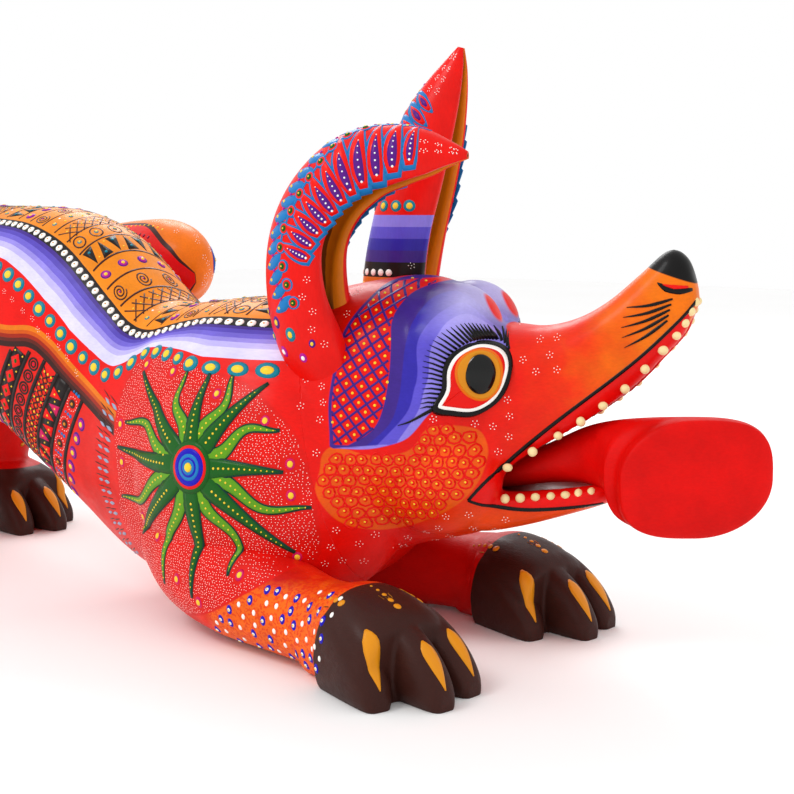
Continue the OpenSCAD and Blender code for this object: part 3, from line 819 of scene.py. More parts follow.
def ear_material(name, left):
    g = Graph(name)
    u, a, hollow = (g.axis("ear", k) for k in range(3))
    wob = g.math("MULTIPLY_ADD", g.noise(0.05, 3.0), 0.16, -0.08)
    p = g.math("ADD", a, wob)
    stripes = g.ramp(p, -1, 1, [
        (-1, GOLD), (-0.84, srgb(58, 34, 24)), (0.18, srgb(52, 28, 20)),
        (0.36, srgb(112, 30, 22)), (0.5, srgb(64, 32, 22)), (0.64, srgb(128, 66, 24)),
        (0.8, srgb(226, 124, 14))])
    lens = g.math("SUBTRACT", 0.26, g.math("ABSOLUTE", g.math("SUBTRACT", a, 0.02)))
    ends = g.math("MULTIPLY", g.above(u, 2.2, 1.2), g.above(u, 6.4, -2.4))
    petal = g.above(g.math("MULTIPLY_ADD", ends, 0.3, g.math("SUBTRACT", lens, 0.3)), 0, 0.02)
    stripes = g.mix(petal, stripes, srgb(226, 150, 26) if not left else srgb(232, 176, 20))
    # Painted shade: the foot of the ear's hollow, next to the head, is mixed towards a dark
    # grey-brown.
    deep = g.above(u, 1.9, -0.7)
    stripes = g.mix(g.math("MULTIPLY", deep, 0.85), stripes, srgb(60, 46, 40))
    colour = g.mix(g.above(hollow, 0.55, 0.06), RED, srgb(236, 128, 18))
    colour = g.mix(g.above(hollow, 0.97, 0.02), colour, stripes)
    if left:
        z = g.axis("plain", 2)
        sash = g.ramp(z, 190, 275, [
            (190, srgb(222, 112, 20)), (207, DARK), (216, P1), (223, P2), (230, P3),
            (237, P4), (244, RED)])
        face = g.math("MULTIPLY", g.above(a, -0.05, -0.1), g.above(hollow, 0.3, -0.1))
        face = g.math("MULTIPLY", face, g.above(z, 252, -0.5))
        colour = g.mix(face, colour, sash)
    return g.finish(colour, 0.42, 0.3, 0.5, stretch=(1, 1, 0.25))


def limb_material(name, plain, dapple):
    g = Graph(name)
    up = g.noise(0.03, 3.0)
    colour = g.ramp(up, 0.3, 0.7, [(0.3, plain), (0.7, DEEP_RED)], "LINEAR")
    if dapple:
        f = g.field("forearm")
        rough = g.math("ADD", f, g.math("MULTIPLY_ADD", g.noise(0.08, 4.0), 16.0, -8.0))
        spots = g.above(g.noise(0.55, 3.0), 0.53, 0.04)
        speckle = g.mix(g.math("MULTIPLY", spots, 0.75), srgb(244, 104, 10), srgb(226, 52, 8))
        colour = g.mix(g.above(rough, 3, 10), colour, speckle)
    colour = g.mix(g.above(g.field("shoulder"), 0, 0.8), colour, SHOULDER_RED)
    colour = g.mix(g.above(g.field("paw"), 0, 0.7), colour, srgb(58, 27, 21))
    return g.finish(colour, 0.46, 0.12, 0.5, bump=0.3, depth=0.0006)


def tail_material():
    g = Graph("tail_paint")
    colour = g.ramp(g.field("round"), -1, 1,
                    [(-1, RED), (-0.42, BROWN), (-0.34, srgb(240, 118, 12))])
    return g.finish(colour, 0.42, 0.25, 0.6)


def plain_material(name, colour, rough=0.35, coat=0.35, brush=0.5):
    g = Graph(name)
    edge = g.noise(0.03, 3.0)
    dark = tuple(c * 0.8 for c in colour[:3]) + (1.0,)
    return g.finish(g.ramp(edge, 0.2, 0.8, [(0.2, dark), (0.5, colour)], "LINEAR"), rough, coat,
                    brush)


def wood_material():
    """Bare turned dowel wood with lengthwise grain."""
    g = Graph("raw_wood_grain")
    where = g.tree.nodes.new("ShaderNodeTexCoord").outputs["Object"]
    grain = g.noise(90.0, 5.0, (1, 1, 0.12), where)
    colour = g.ramp(grain, 0.3, 0.7, [(0.3, srgb(176, 136, 84)), (0.7, srgb(222, 190, 138))],
                    "LINEAR")
    g.put(g.shader.inputs["Base Color"], colour)
    g.put(g.shader.inputs["Roughness"], g.spread(grain, 0.5, 0.75))
    g.bumps(grain, 0.3, 0.0004)
    return g.material


# ---------- raised brush marks ----------

def unit_rows(v):
    return v / (np.linalg.norm(v, axis=1, keepdims=True) + 1e-12)


# How far a stroke's underside is sunk below the skin.
SUNK = 0.35
# A stroke breaks where the skin jumps by more than this many of its steps plus a little.
JUMP, JUMP_MORE = 4, 4.5


class Marks:
    """Closed domes and strokes of paint standing on one carved piece."""

    def __init__(self):
        self.points, self.faces, self.slots, self.names, self.count = [], [], [], [], 0

    def add(self, verts, faces, colour):
        if colour not in self.names:
            self.names.append(colour)
        k = self.names.index(colour)
        self.points.append(np.asarray(verts, float))
        self.faces += [tuple(i + self.count for i in f) for f in faces]
        self.slots += [k] * len(faces)
        self.count += len(verts)

    def domes(self, p, n, r, h, colour, along=None, stretch=1.0, sides=8, lift=0.0, soft=True):
        """One flattened dome per point. stretch lengthens it in the direction along."""
        if len(p) == 0:
            return
        p, n = np.asarray(p, float), unit_rows(np.asarray(n, float))
        r = np.broadcast_to(np.asarray(r, float), (len(p),))[:, None]
        if along is None:
            along = np.tile((0.0, 0.1, 1.0), (len(p), 1))
        b = unit_rows(np.cross(n, along))
        t = np.cross(b, n)
        rings = [(1.0, -0.3 + lift), (0.7, h * 0.8 + lift)] if soft else [(1.0, -0.3 + lift)]
        if sides > 30:
            rings = [(math.cos(a), h * math.sin(a) + lift) for a in np.linspace(0, 1.45, 8)]
        verts = []
        for scale, up in rings:
            for k in range(sides):
                q = 2 * math.pi * k / sides
                verts.append(p + n * up + r * scale * (t * math.cos(q) * stretch + b * math.sin(q)))
        verts.append(p + n * (h + lift))
        verts = np.stack(verts, 1)
        per = verts.shape[1]
        pattern = [tuple(range(sides - 1, -1, -1))]
        for a in range(0, (len(rings) - 1) * sides, sides):
            pattern += [(a + j, a + (j + 1) % sides, a + sides + (j + 1) % sides, a + sides + j)
                        for j in range(sides)]
        a = (len(rings) - 1) * sides
        pattern += [(a + j, a + (j + 1) % sides, per - 1) for j in range(sides)]
        self.add(verts.reshape(-1, 3),
                 [tuple(i * per + j for j in f) for i in range(len(p)) for f in pattern], colour)

    def slab(self, p, n, colour, rise):
        """A closed sheet of paint over a grid of surface points p[rows, columns]."""
        rows, cols = p.shape[:2]
        verts = np.vstack([(p + n * rise[:, :, None]).reshape(-1, 3),
                           (p - n * SUNK).reshape(-1, 3)])
        k = rows * cols
        faces = []
        for i in range(rows - 1):
            for j in range(cols - 1):
                a = i * cols + j
                faces.append((a, a + 1, a + cols + 1, a + cols))
                faces.append((k + a, k + a + cols, k + a + cols + 1, k + a + 1))
        rim = [i * cols for i in range(rows - 1)] + [k - cols + j for j in range(cols - 1)]
        rim += [i * cols + cols - 1 for i in range(rows - 1, 0, -1)] + list(range(cols - 1, 0, -1))
        faces += [(a, b, k + b, k + a) for a, b in zip(rim, rim[1:] + rim[:1])]
        self.add(verts, faces, colour)

    def stroke(self, surface, line, half, colour, h=0.3, cross=3, steps=None):
        """A brush stroke along a 2-D line on a surface, half giving its half width along it."""
        line = np.array(line, float)
        if steps:
            t = np.linspace(0, 1, len(line))
            s = np.linspace(0, 1, steps)
            line = np.stack([np.interp(s, t, line[:, 0]), np.interp(s, t, line[:, 1])], 1)
        t = np.linspace(0, 1, len(line))
        half = half if np.ndim(half) else [half, half]
        w = np.interp(t, np.linspace(0, 1, len(half)), half)
        way = unit_rows(np.gradient(line, axis=0))
        out = np.stack([-way[:, 1], way[:, 0]], 1)
        f = np.linspace(-1, 1, cross)
        uv = line[:, None, :] + out[:, None, :] * (w[:, None] * f[None, :])[:, :, None]
        p, n, ok = surface(uv.reshape(-1, 2))
        p, n = p.reshape(*uv.shape[:2], 3), n.reshape(*uv.shape[:2], 3)
        good = ok.reshape(uv.shape[:2]).all(axis=1)
        step = np.linalg.norm(np.diff(p, axis=0), axis=2).max(axis=1)
        flat = np.linalg.norm(np.diff(line, axis=0), axis=1)
        start = 0
        for i in range(1, len(line) + 1):
            if i == len(line) or not good[i] or step[i - 1] > JUMP * flat[i - 1] + JUMP_MORE:
                if i - start > 1 and good[start]:
                    rise = np.tile(h * (1 - 0.25 * f ** 2), (i - start, 1))
                    self.slab(p[start:i], n[start:i], colour, rise)
                start = i

    def ring_mark(self, surface, at, r, half, colour):
        q = np.linspace(0, 2 * math.pi, 19)
        line = np.stack([at[0] + r * np.cos(q), at[1] + r * np.sin(q)], 1)
        self.stroke(surface, line, half, colour, 0.3, 2)

    def spots(self, surface, uv, r, h, colour, **more):
        uv = np.atleast_2d(np.array(uv, float))
        p, n, ok = surface(uv)
        more = {k: (v[ok] if isinstance(v, np.ndarray) and len(v) == len(ok) else v)
                for k, v in more.items()}
        r = np.broadcast_to(np.asarray(r, float), (len(uv),))[ok]
        self.domes(p[ok], n[ok], r, h, colour, **more)

    def stack(self, surface, uv, coats, **more):
        """Spots on top of each other: coats are (radius, height, colour, lift, sides)."""
        for r, h, colour, lift, sides in coats:
            self.spots(surface, uv, r, h, colour, lift=lift, sides=sides, **more)

    def fill(self, surface, outline, colour, h, rings=5, skirt=SUNK):
        """A filled shape: rings of points shrinking from its outline to its middle."""
        outline = np.array(outline, float)
        mid = outline.mean(axis=0)
        k = len(outline)
        scale = np.linspace(1, 0.12, rings)
        uv = np.vstack([mid + (outline - mid) * s for s in scale] + [mid[None]])
        p, n, ok = surface(uv)
        if not ok.all():
            return
        top, low = p + n * h, p[:k] - n[:k] * skirt
        verts = np.vstack([top, low])
        faces = []
        for i in range(rings - 1):
            for j in range(k):
                a, b = i * k + j, i * k + (j + 1) % k
                faces.append((a, b, b + k, a + k))
        last, base = (rings - 1) * k, len(top)
        faces += [(last + j, last + (j + 1) % k, rings * k) for j in range(k)]
        faces += [(base + j, base + (j + 1) % k, (j + 1) % k, j) for j in range(k)]
        faces.append(tuple(base + j for j in range(k - 1, -1, -1)))
        self.add(verts, faces, colour)

    def flower(self, surface, at, size=1.0, r=0.55):
        """Five tiny dots round a sixth."""
        q = rng.uniform(0, 2 * math.pi) + np.arange(5) * 2 * math.pi / 5
        uv = np.array(at) + 1.55 * size * np.stack([np.cos(q), np.sin(q)], 1)
        self.spots(surface, np.vstack([uv, np.array(at)[None]]), r * size, 0.35, "white", sides=5,
                   soft=False)

    def build(self, name):
        verts = np.vstack(self.points)
        ob = mesh_object(name, verts, self.faces)
        for n in self.names:
            ob.data.materials.append(PAINTS[n])
        ob.data.polygons.foreach_set("material_index", self.slots)
        bm = bmesh.new()
        bm.from_mesh(ob.data)
        bmesh.ops.recalc_face_normals(bm, faces=bm.faces)
        bm.to_mesh(ob.data)
        bm.free()
        return ob


def side_surface(tree, s, reach=260.0):
    """Places on the side of the figure, as (forward, up), met by rays from that side."""
    def surface(uv):
        k = len(uv)
        start = np.stack([uv[:, 0], np.full(k, s * reach), uv[:, 1]], 1)
        return cast(tree, start, np.tile((0.0, -s, 0.0), (k, 1)))
    return surface


def eased(surface, outline, s):
    """A smooth surface just clear of another one, over an outline seen from the side."""
    lo, hi = outline.min(axis=0), outline.max(axis=0)
    grid = np.stack(np.meshgrid(np.linspace(lo[0], hi[0], 24), np.linspace(lo[1], hi[1], 24)), -1)
    grid = grid.reshape(-1, 2)
    grid = grid[inside(grid, outline)]
    mid = grid.mean(axis=0)

    def terms(uv):
        x, z = (uv - mid).T / 20
        return np.stack([x ** i * z ** j for i in range(4) for j in range(4 - i)], 1)
    y = surface(grid)[0][:, 1] * s
    weight = np.linalg.lstsq(terms(grid), y, rcond=None)[0]
    lift = np.max(y - terms(grid) @ weight)

    def smooth(uv):
        y = [terms(uv + d) @ weight + lift for d in ((0, 0), (0.5, 0), (0, 0.5))]
        p = np.stack([uv[:, 0], s * y[0], uv[:, 1]], 1)
        n = np.stack([-(y[1] - y[0]) / 0.5, np.full(len(uv), 1.0), -(y[2] - y[0]) / 0.5], 1)
        return p, unit_rows(n) * (1, s, 1), np.ones(len(uv), bool)
    return smooth


def spine_surface(s):
    """Places on the back, as (forward, distance over the skin from the middle of the back)."""
    def surface(uv):
        x = np.clip((uv[:, 0] - SPINE_X[0]) / ALONG, 0, len(SPINE_X) - 1.001)
        i0 = x.astype(int)
        f = (x - i0)[:, None]
        w = np.abs(uv[:, 1])
        flip = np.where(uv[:, 1] < 0, -s, s)
        out, nor = np.empty((len(uv), 3)), np.empty((len(uv), 3))
        for k in range(len(uv)):
            pair = []
            for i in (i0[k], i0[k] + 1):
                j = np.interp(w[k], SW[i], np.arange(len(SPINE_T)))
                j0 = min(int(j), len(SPINE_T) - 2)
                g = j - j0
                pair.append((SP[i, j0] * (1 - g) + SP[i, j0 + 1] * g,
                             SN[i, j0] * (1 - g) + SN[i, j0 + 1] * g))
            out[k] = pair[0][0] * (1 - f[k]) + pair[1][0] * f[k]
            nor[k] = pair[0][1] * (1 - f[k]) + pair[1][1] * f[k]
        out[:, 1] *= flip
        nor[:, 1] *= flip
        return out, unit_rows(nor), np.ones(len(uv), bool)
    return surface


EAR_ROUND = 24.0


def ear_surface(ob, rows):
    """Places on the back of an ear, as (distance up the ear, distance round from its middle)."""
    tree = tree_of(ob)
    rows = np.array(rows, float)
    up = np.concatenate([[0], np.cumsum(np.linalg.norm(np.diff(rows[:, :3], axis=0), axis=1))])

    def surface(uv):
        out = []
        for d, w in uv:
            a = w / EAR_ROUND
            r, front = ear_row(rows, np.interp(d, up, np.arange(len(rows))))
            out.append(r[:3] - front * r[4] * math.cos(a)
                       + np.array((0, 1, 0)) * r[3] * math.sin(a))
        out = np.array(out)
        nor = np.array([np.array(tree.find_nearest(Vector(p))[1]) for p in out])
        return out, nor, np.ones(len(uv), bool)
    return surface


# ---------- the painting ----------

def walk(surface, line, gap, offset=0.0):
    """Evenly spaced places along a 2-D line on a surface, with the direction at each."""
    line = np.array(line, float)
    p, _, _ = surface(line)
    d = np.concatenate([[0], np.cumsum(np.linalg.norm(np.diff(p, axis=0), axis=1))])
    at = np.arange(offset, d[-1], gap)
    way = np.gradient(p, axis=0)
    return (np.stack([np.interp(at, d, line[:, k]) for k in range(2)], 1),
            np.stack([np.interp(at, d, way[:, k]) for k in range(3)], 1))


def rotated(v, a):
    c, s = math.cos(a), math.sin(a)
    v = np.asarray(v, float)
    return np.stack([v[..., 0] * c - v[..., 1] * s, v[..., 0] * s + v[..., 1] * c], -1)


def outline_of(line, half):
    """Outline of a tapered stroke, for keeping dots clear of it."""
    line = np.array(line, float)
    t = np.linspace(0, 1, len(line))
    w = np.interp(t, np.linspace(0, 1, len(half)), half)
    way = unit_rows(np.gradient(line, axis=0))
    out = np.stack([-way[:, 1], way[:, 0]], 1) * w[:, None]
    return np.vstack([line + out, (line - out)[::-1]])


# Rays of the sun: [degrees, reach].
SUN_STRAIGHT = [(1, 56), (53, 60), (93, 52), (143, 80), (179, 82), (218, 92), (271, 75), (322, 73)]
SUN_WAVY = [(30, 56), (71, 54), (117, 57), (163, 76), (203, 88), (245, 78), (302, 65), (341, 71)]


def sun(marks, surface):
    """A star of eight straight and eight wavy rays round an eye of rings."""
    blocked = []

    def ray(line, a, wide, colour, rise, size, last, gap):
        line = SUN_AT + rotated(line, math.radians(a))
        marks.stroke(surface, line, [w + 0.8 for w in wide], "pine", rise, 5)
        marks.stroke(surface, line[:-1], wide, colour, rise + 0.2, 5)
        blocked.append(outline_of(line, [w + 1.4 for w in wide]))
        uv, _ = walk(surface, line[4:last], gap)
        marks.spots(surface, uv, np.linspace(size, 0.5, len(uv)), 0.3, "yellow", lift=rise + 0.2,
                    sides=6)
    for k, (a, reach) in enumerate(SUN_WAVY):
        t = np.linspace(0, 1, 26)
        wave = 5.2 * np.sin(t * 7.2 + 0.4) * (0.3 + 0.7 * t) * (1 if k % 2 else -1)
        ray(np.stack([13 + (reach - 13) * t, wave], 1), a,
            [3.9, 4.3, 3.7, 3.0, 2.5, 1.9, 1.2, 0.2], "leaf", 0.3, 0.85, -1, 3.6)
    for a, reach in SUN_STRAIGHT:
        t = np.linspace(0, 1, 22)
        ray(np.stack([8 + (reach - 8) * t, 1.2 * np.sin(t * 3.0)], 1), a,
            [5.0, 5.7, 4.6, 3.4, 2.3, 1.3, 0.2], "green", 0.6, 0.95, -2, 3.3)
    q = np.linspace(0, 2 * math.pi, 37)[:-1]
    disc = np.stack([np.cos(q), np.sin(q)], 1)
    for r, colour, h in [(15, "green", 0.95), (12.4, "red", 1.15), (10.6, "royal", 1.3),
                         (7.6, "sky", 1.45), (5.6, "royal", 1.55), (4.4, "sky", 1.65)]:
        marks.fill(surface, SUN_AT + disc * r, colour, h, 6)
    marks.spots(surface, [SUN_AT], 3.0, 1.0, "yellow", lift=1.65, sides=16)
    blocked.append(SUN_AT + disc * 16)
    eyes = []
    for k in range(16):
        a = math.radians(8.5 + 22.5 * k + (3 if k % 2 else -3))
        way = np.array((math.cos(a), math.sin(a)))
        out = max(r for r in range(30, 110) if inside((SUN_AT + way * r)[None], SHOULDER)[0])
        at = SUN_AT + way * min(out - 10, 68 if k % 2 else 60)
        near = at + np.array([(0, 0), (3, 0), (-3, 0), (0, 3), (0, -3)])
        if any(inside(near, b).any() for b in blocked):
            at = SUN_AT + way * (out - 7)
            if any(inside(at[None], b)[0] for b in blocked):
                continue
        eyes.append(at)
    marks.stack(surface, eyes, [(3.3, 0.4, "rose", 0, 12), (1.9, 0.6, "yellow", 0.3, 10)],
                stretch=1.15)
    blocked += [np.array(e) + disc * 4.6 for e in eyes]
    return blocked


def micro_dots(marks, surface, blocked, pitch):
    """Fine white dots close together over the shoulder, clear of what is painted there."""
    lo, hi = SHOULDER.min(axis=0), SHOULDER.max(axis=0)
    rows = []
    for j, z in enumerate(np.arange(lo[1], hi[1], pitch * 0.866)):
        xs = [lo[0] + pitch * (j % 2)]
        while xs[-1] < hi[0]:
            xs.append(xs[-1] + pitch * np.interp(xs[-1], [-260, -215, -160], [1.5, 1.15, 1.05]))
        rows.append([(x, z) for x in xs])
    uv = np.vstack(rows)
    uv = uv + np.random.default_rng(3).uniform(-0.28, 0.28, uv.shape) * pitch
    keep = inside(uv, SHOULDER) & (polyline_distance(uv, SHOULDER, True) > 1.2)
    for b in blocked:
        keep &= ~inside(uv, b)
    marks.spots(surface, uv[keep], 0.6, 0.22, "white", sides=5, soft=False)


def spine(marks, s):
    surface = spine_surface(s)
    x = np.arange(-558, -151, 1.5)
    uv, way = walk(surface, np.stack([x, strip_half(x) * 1.01], 1), 6.5, 2.0)
    marks.spots(surface, uv, 2.85, 0.9, "white", along=way, stretch=0.92, sides=10)
    marks.spots(surface, uv, 0.7, 0.4, "gold", lift=0.8, sides=6)
    uv, way = walk(surface, np.stack([x, border_half(x)], 1), 12.6, 2.0)
    size = 5.2 + 0.4 * np.sin(np.arange(len(uv)) * 2.4)
    marks.spots(surface, uv, size, 0.8, "teal", along=way, stretch=1.04, sides=14)
    marks.spots(surface, uv, size * 0.56, 0.9, "yellow", along=way, stretch=1.1, lift=0.5, sides=12)


STRIP_KINDS = ["triangles", "ovals", "spirals", "dots", "hatch", "rings", "zigzag", "ovals",
               "spirals", "hatch", "dots"]
BACK_PITCH = 13.5


def spine_bands(marks):
    """The orange strip along the back: bands of brown line patterns across it."""
    surface = spine_surface(1)
    slant = 3.0
    for k, x in enumerate(np.arange(-552, -152, BACK_PITCH)):
        s = strip_half(x) * 0.84
        w = np.linspace(-s, s, 17)
        marks.stroke(surface, np.stack([x + slant * w / s, w], 1), 0.55, "brown", 0.25, 2)
        mid = x + BACK_PITCH / 2
        kind = STRIP_KINDS[k % len(STRIP_KINDS)]

        def spots(n):
            t = np.linspace(-1, 1, n)
            return np.stack([mid + slant * t * 0.8, s * 0.84 * t], 1)
        if kind == "ovals":
            marks.stack(surface, spots(5), [(4.0, 0.5, "purple", 0, 12),
                                            (3.2, 0.5, "magenta", 0.3, 12),
                                            (1.5, 0.5, "yellow", 0.7, 8)])
        elif kind == "spirals":
            for at in spots(4):
                q = np.linspace(0, 2 * math.pi * 2.2, 34)
                r = np.linspace(0.7, 5.3, 34)[:, None]
                marks.stroke(surface, at + r * np.stack([np.cos(q), np.sin(q)], 1), 0.45, "brown",
                             0.25, 2)
                marks.spots(surface, [at], 0.9, 0.4, "magenta", sides=6)
        elif kind == "rings":
            for at in spots(5):
                marks.ring_mark(surface, at, 4.4, 0.5, "brown")
            marks.stack(surface, spots(5), [(1.9, 0.5, "teal", 0, 8), (1.0, 0.4, "yellow", 0.5, 6)])
        elif kind == "hatch":
            for a in np.linspace(-s, s - 12, 9):
                lo, hi = x + 1, x + BACK_PITCH - 1
                for line in ([(hi, a), (lo, a + 12)], [(lo, a), (hi, a + 12)]):
                    marks.stroke(surface, line, 0.42, "brown", 0.25, 2, steps=5)
            marks.spots(surface, spots(10), 0.75, 0.35, "yellow", lift=0.2, sides=6)
        elif kind in ("triangles", "zigzag"):
            for i, at in enumerate(spots(7)):
                flip = 1 if (i + k) % 2 else -1
                line = [(at[0] - flip * 5.6, at[1]), (at[0] + flip * 5.6, at[1])]
                marks.stroke(surface, line, [4.4, 2.2, 0.1], "dark", 0.22, 3, steps=5)
                marks.spots(surface, at - (flip * 3, 0), 1.2, 0.5, "teal", lift=0.2, sides=7)
                marks.spots(surface, at + (flip * 3.6, 4), 0.8, 0.4, "yellow", sides=6)
        else:
            uv = spots(9)
            marks.stack(surface, uv[::2], [(2.0, 0.5, "teal", 0, 9), (1.1, 0.5, "yellow", 0.4, 7)])
            marks.spots(surface, uv[1::2] + (3, 0), 1.0, 0.4, "yellow", sides=6)
            marks.spots(surface, uv[1::2] - (3, 0), 1.0, 0.4, "white", sides=6)


PANEL_WAY = np.array((0.533, 0.846))
PANEL_KINDS = ["ovals", "spirals", "triangles", "hatch", "rings", "diamonds"]
PANEL_PITCH = 16.5


def flank(marks, tree, s):
    """Slanted strips of patterns on the side of the body, from the brown band to the belly."""
    surface = side_surface(tree, s)
    across = np.array((PANEL_WAY[1], -PANEL_WAY[0]))

    def limits(x0):
        t = np.linspace(-120, 120, 241)
        p = np.array((x0, 115.0)) + PANEL_WAY * t[:, None]
        top = band_top(p[:, 0]) - 16
        low = np.interp(p[:, 0], [-560, -520, -410, -365, -326, -290, -262],
                        [165, 118, 104, 80, 56, 36, 30])
        ok = (p[:, 1] < top) & (p[:, 1] > low) & (p[:, 0] > -548)
        ok &= (signed(p, SHOULDER) < -15) & (p[:, 0] < -255)
        return (t[ok].min(), t[ok].max()) if ok.sum() > 14 else None
    for k in range(17):
        x0 = -296 - k * PANEL_PITCH
        lim = limits(x0)
        if not lim:
            continue
        base = np.array((x0, 115.0))

        def at(t, w=0.0):
            return base + PANEL_WAY * t + across * w
        edge = limits(x0 - PANEL_PITCH / 2)
        if edge:
            b = base - (PANEL_PITCH / 2, 0)
            line = [b + PANEL_WAY * t for t in np.linspace(edge[0], edge[1], 16)]
            marks.stroke(surface, line, 1.5, "dark", 0.3, 3)
        kind = PANEL_KINDS[k % len(PANEL_KINDS)]
        half = PANEL_PITCH * 0.846 / 2 - 1.6
        if kind in ("triangles", "diamonds"):
            line = [at(t) for t in np.linspace(lim[0], lim[1], 16)]
            marks.stroke(surface, line, half, "dark", 0.2, 4)
        step = {"ovals": 11.5, "spirals": 16, "triangles": 8.5, "hatch": 5, "rings": 9.5,
                "diamonds": 12}[kind]
        for i, t in enumerate(np.arange(lim[0] + 5, lim[1] - 4, step)):
            if kind == "ovals":
                marks.stack(surface, at(t), [(4.2, 0.5, "purple", 0, 12),
                                             (3.3, 0.4, "magenta", 0.35, 12),
                                             (1.8, 0.5, "yellow", 0.7, 9)], stretch=1.2)
            elif kind == "spirals":
                q = np.linspace(0, 2 * math.pi, 15)[:-1]
                ring_uv = at(t)[None] + 4.7 * np.stack([np.cos(q), np.sin(q)], 1)
                marks.spots(surface, ring_uv, 0.62, 0.4, "white", sides=5, soft=False)
                marks.stack(surface, at(t),
                            [(3.6, 0.35, "brown", 0, 12), (1.3, 0.5, "gold", 0.3, 8)])
                marks.spots(surface, [at(t + 8, w) for w in (-2.6, 0, 2.6)], [1.0, 1.25, 1.5], 0.5,
                            "sky", sides=7)
            elif kind == "triangles":
                flip = 1 if i % 2 else -1
                line = [at(t, -flip * half), at(t, flip * half * 0.75)]
                marks.stroke(surface, line, [3.9, 2.0, 0.15], "red" if i % 3 else "rose", 0.4, 3,
                             steps=5)
                marks.spots(surface, [at(t, -flip * half * 0.4)], 0.85, 0.4, "yellow", lift=0.35,
                            sides=6)
                marks.spots(surface, [at(t + step / 2, 0)], 0.8, 0.4, "yellow", lift=0.15, sides=6)
            elif kind == "diamonds":
                line = [at(t - 5.4), at(t + 5.4)]
                marks.stroke(surface, line, [0.2, half * 0.86, 0.2], "red", 0.38, 3, steps=7)
                marks.spots(surface, [at(t)], 1.5, 0.4, "green", lift=0.3, stretch=1.3, sides=8)
                for w in (-half * 0.7, half * 0.7):
                    marks.spots(surface, [at(t + 6, w)], 0.8, 0.4, "yellow", lift=0.15, sides=6)
            elif kind == "rings":
                marks.ring_mark(surface, at(t), 3.9, 0.6, "dark")
                marks.ring_mark(surface, at(t), 2.0, 0.5, "dark")
                marks.spots(surface, [at(t)], 0.8, 0.3, "rose", sides=6)
            else:
                for sign in (-1, 1):
                    line = [at(t - 5 * sign, -half), at(t + 5 * sign, half)]
                    marks.stroke(surface, line, 0.45, "dark", 0.28, 2, steps=5)
                marks.spots(surface, [at(t + 2.5, w) for w in (-3.4, 0.0, 3.4)], 0.95, 0.4,
                            "yellow" if i % 2 else "orange", stretch=1.25, sides=6)
    # Misty feather strokes run back from the shoulder patch.
    for z in np.arange(34, 128, 6.5):
        x0 = np.interp(z, [9, 30, 83, 122, 145], [-240, -261, -264, -254, -242])
        tilt = (z - 75) / 60
        for d, size in ((4, 1.0), (13, 0.8)):
            a = np.array((x0 - d, z + d * 0.35 * tilt))
            b = a + np.array((-6.5 * size, 4.2 * tilt))
            marks.stroke(surface, [a, b], [0.3, 1.35 * size, 0.2], "misty", 0.35, 3, steps=6)
            lo, hi = a + (0, 3), b + (-3, 3 + 2 * tilt)
            marks.stroke(surface, [lo, hi], [0.1, 0.4, 0.1], "brown", 0.2, 2, steps=5)
    # Blue drops in threes above the brown band.
    x = np.arange(-556, -372, 2.0)
    uv, way = walk(surface, np.stack([x, band_top(x) + 6], 1), 4.4)
    size = np.array([2.3, 1.9, 1.5, 1.2, 0.9])[np.arange(len(uv)) % 5]
    marks.spots(surface, uv, size, 0.5, "royal", along=way, stretch=0.8, sides=8)
    marks.spots(surface, uv[::5], 0.6, 0.4, "white", lift=0.4, sides=5)


EYE = closed_curve([(-59, 141), (-55.5, 150.5), (-54.2, 161.5), (-49.4, 170.4), (-40.6, 175.5),
                    (-31.8, 174), (-25.9, 169), (-23.5, 161), (-25.7, 151), (-31.6, 142.5),
                    (-41, 137.3), (-51, 138)], 5)


IRIS_AT, PUPIL_AT = (-38.4, 158.2), (-37.8, 158.8)


def shrink(outline, d):
    """Moves every point of an outline that runs clockwise inward by about d."""
    way = unit_rows(np.roll(outline, -1, axis=0) - np.roll(outline, 1, axis=0))
    return outline + np.stack([way[:, 1], -way[:, 0]], 1) * d


def ellipse(at, rx, rz, n=36, turn=0.0):
    q = np.linspace(0, 2 * math.pi, n + 1)[:-1]
    return np.array(at) + rotated(np.stack([rx * np.cos(q), rz * np.sin(q)], 1), turn)


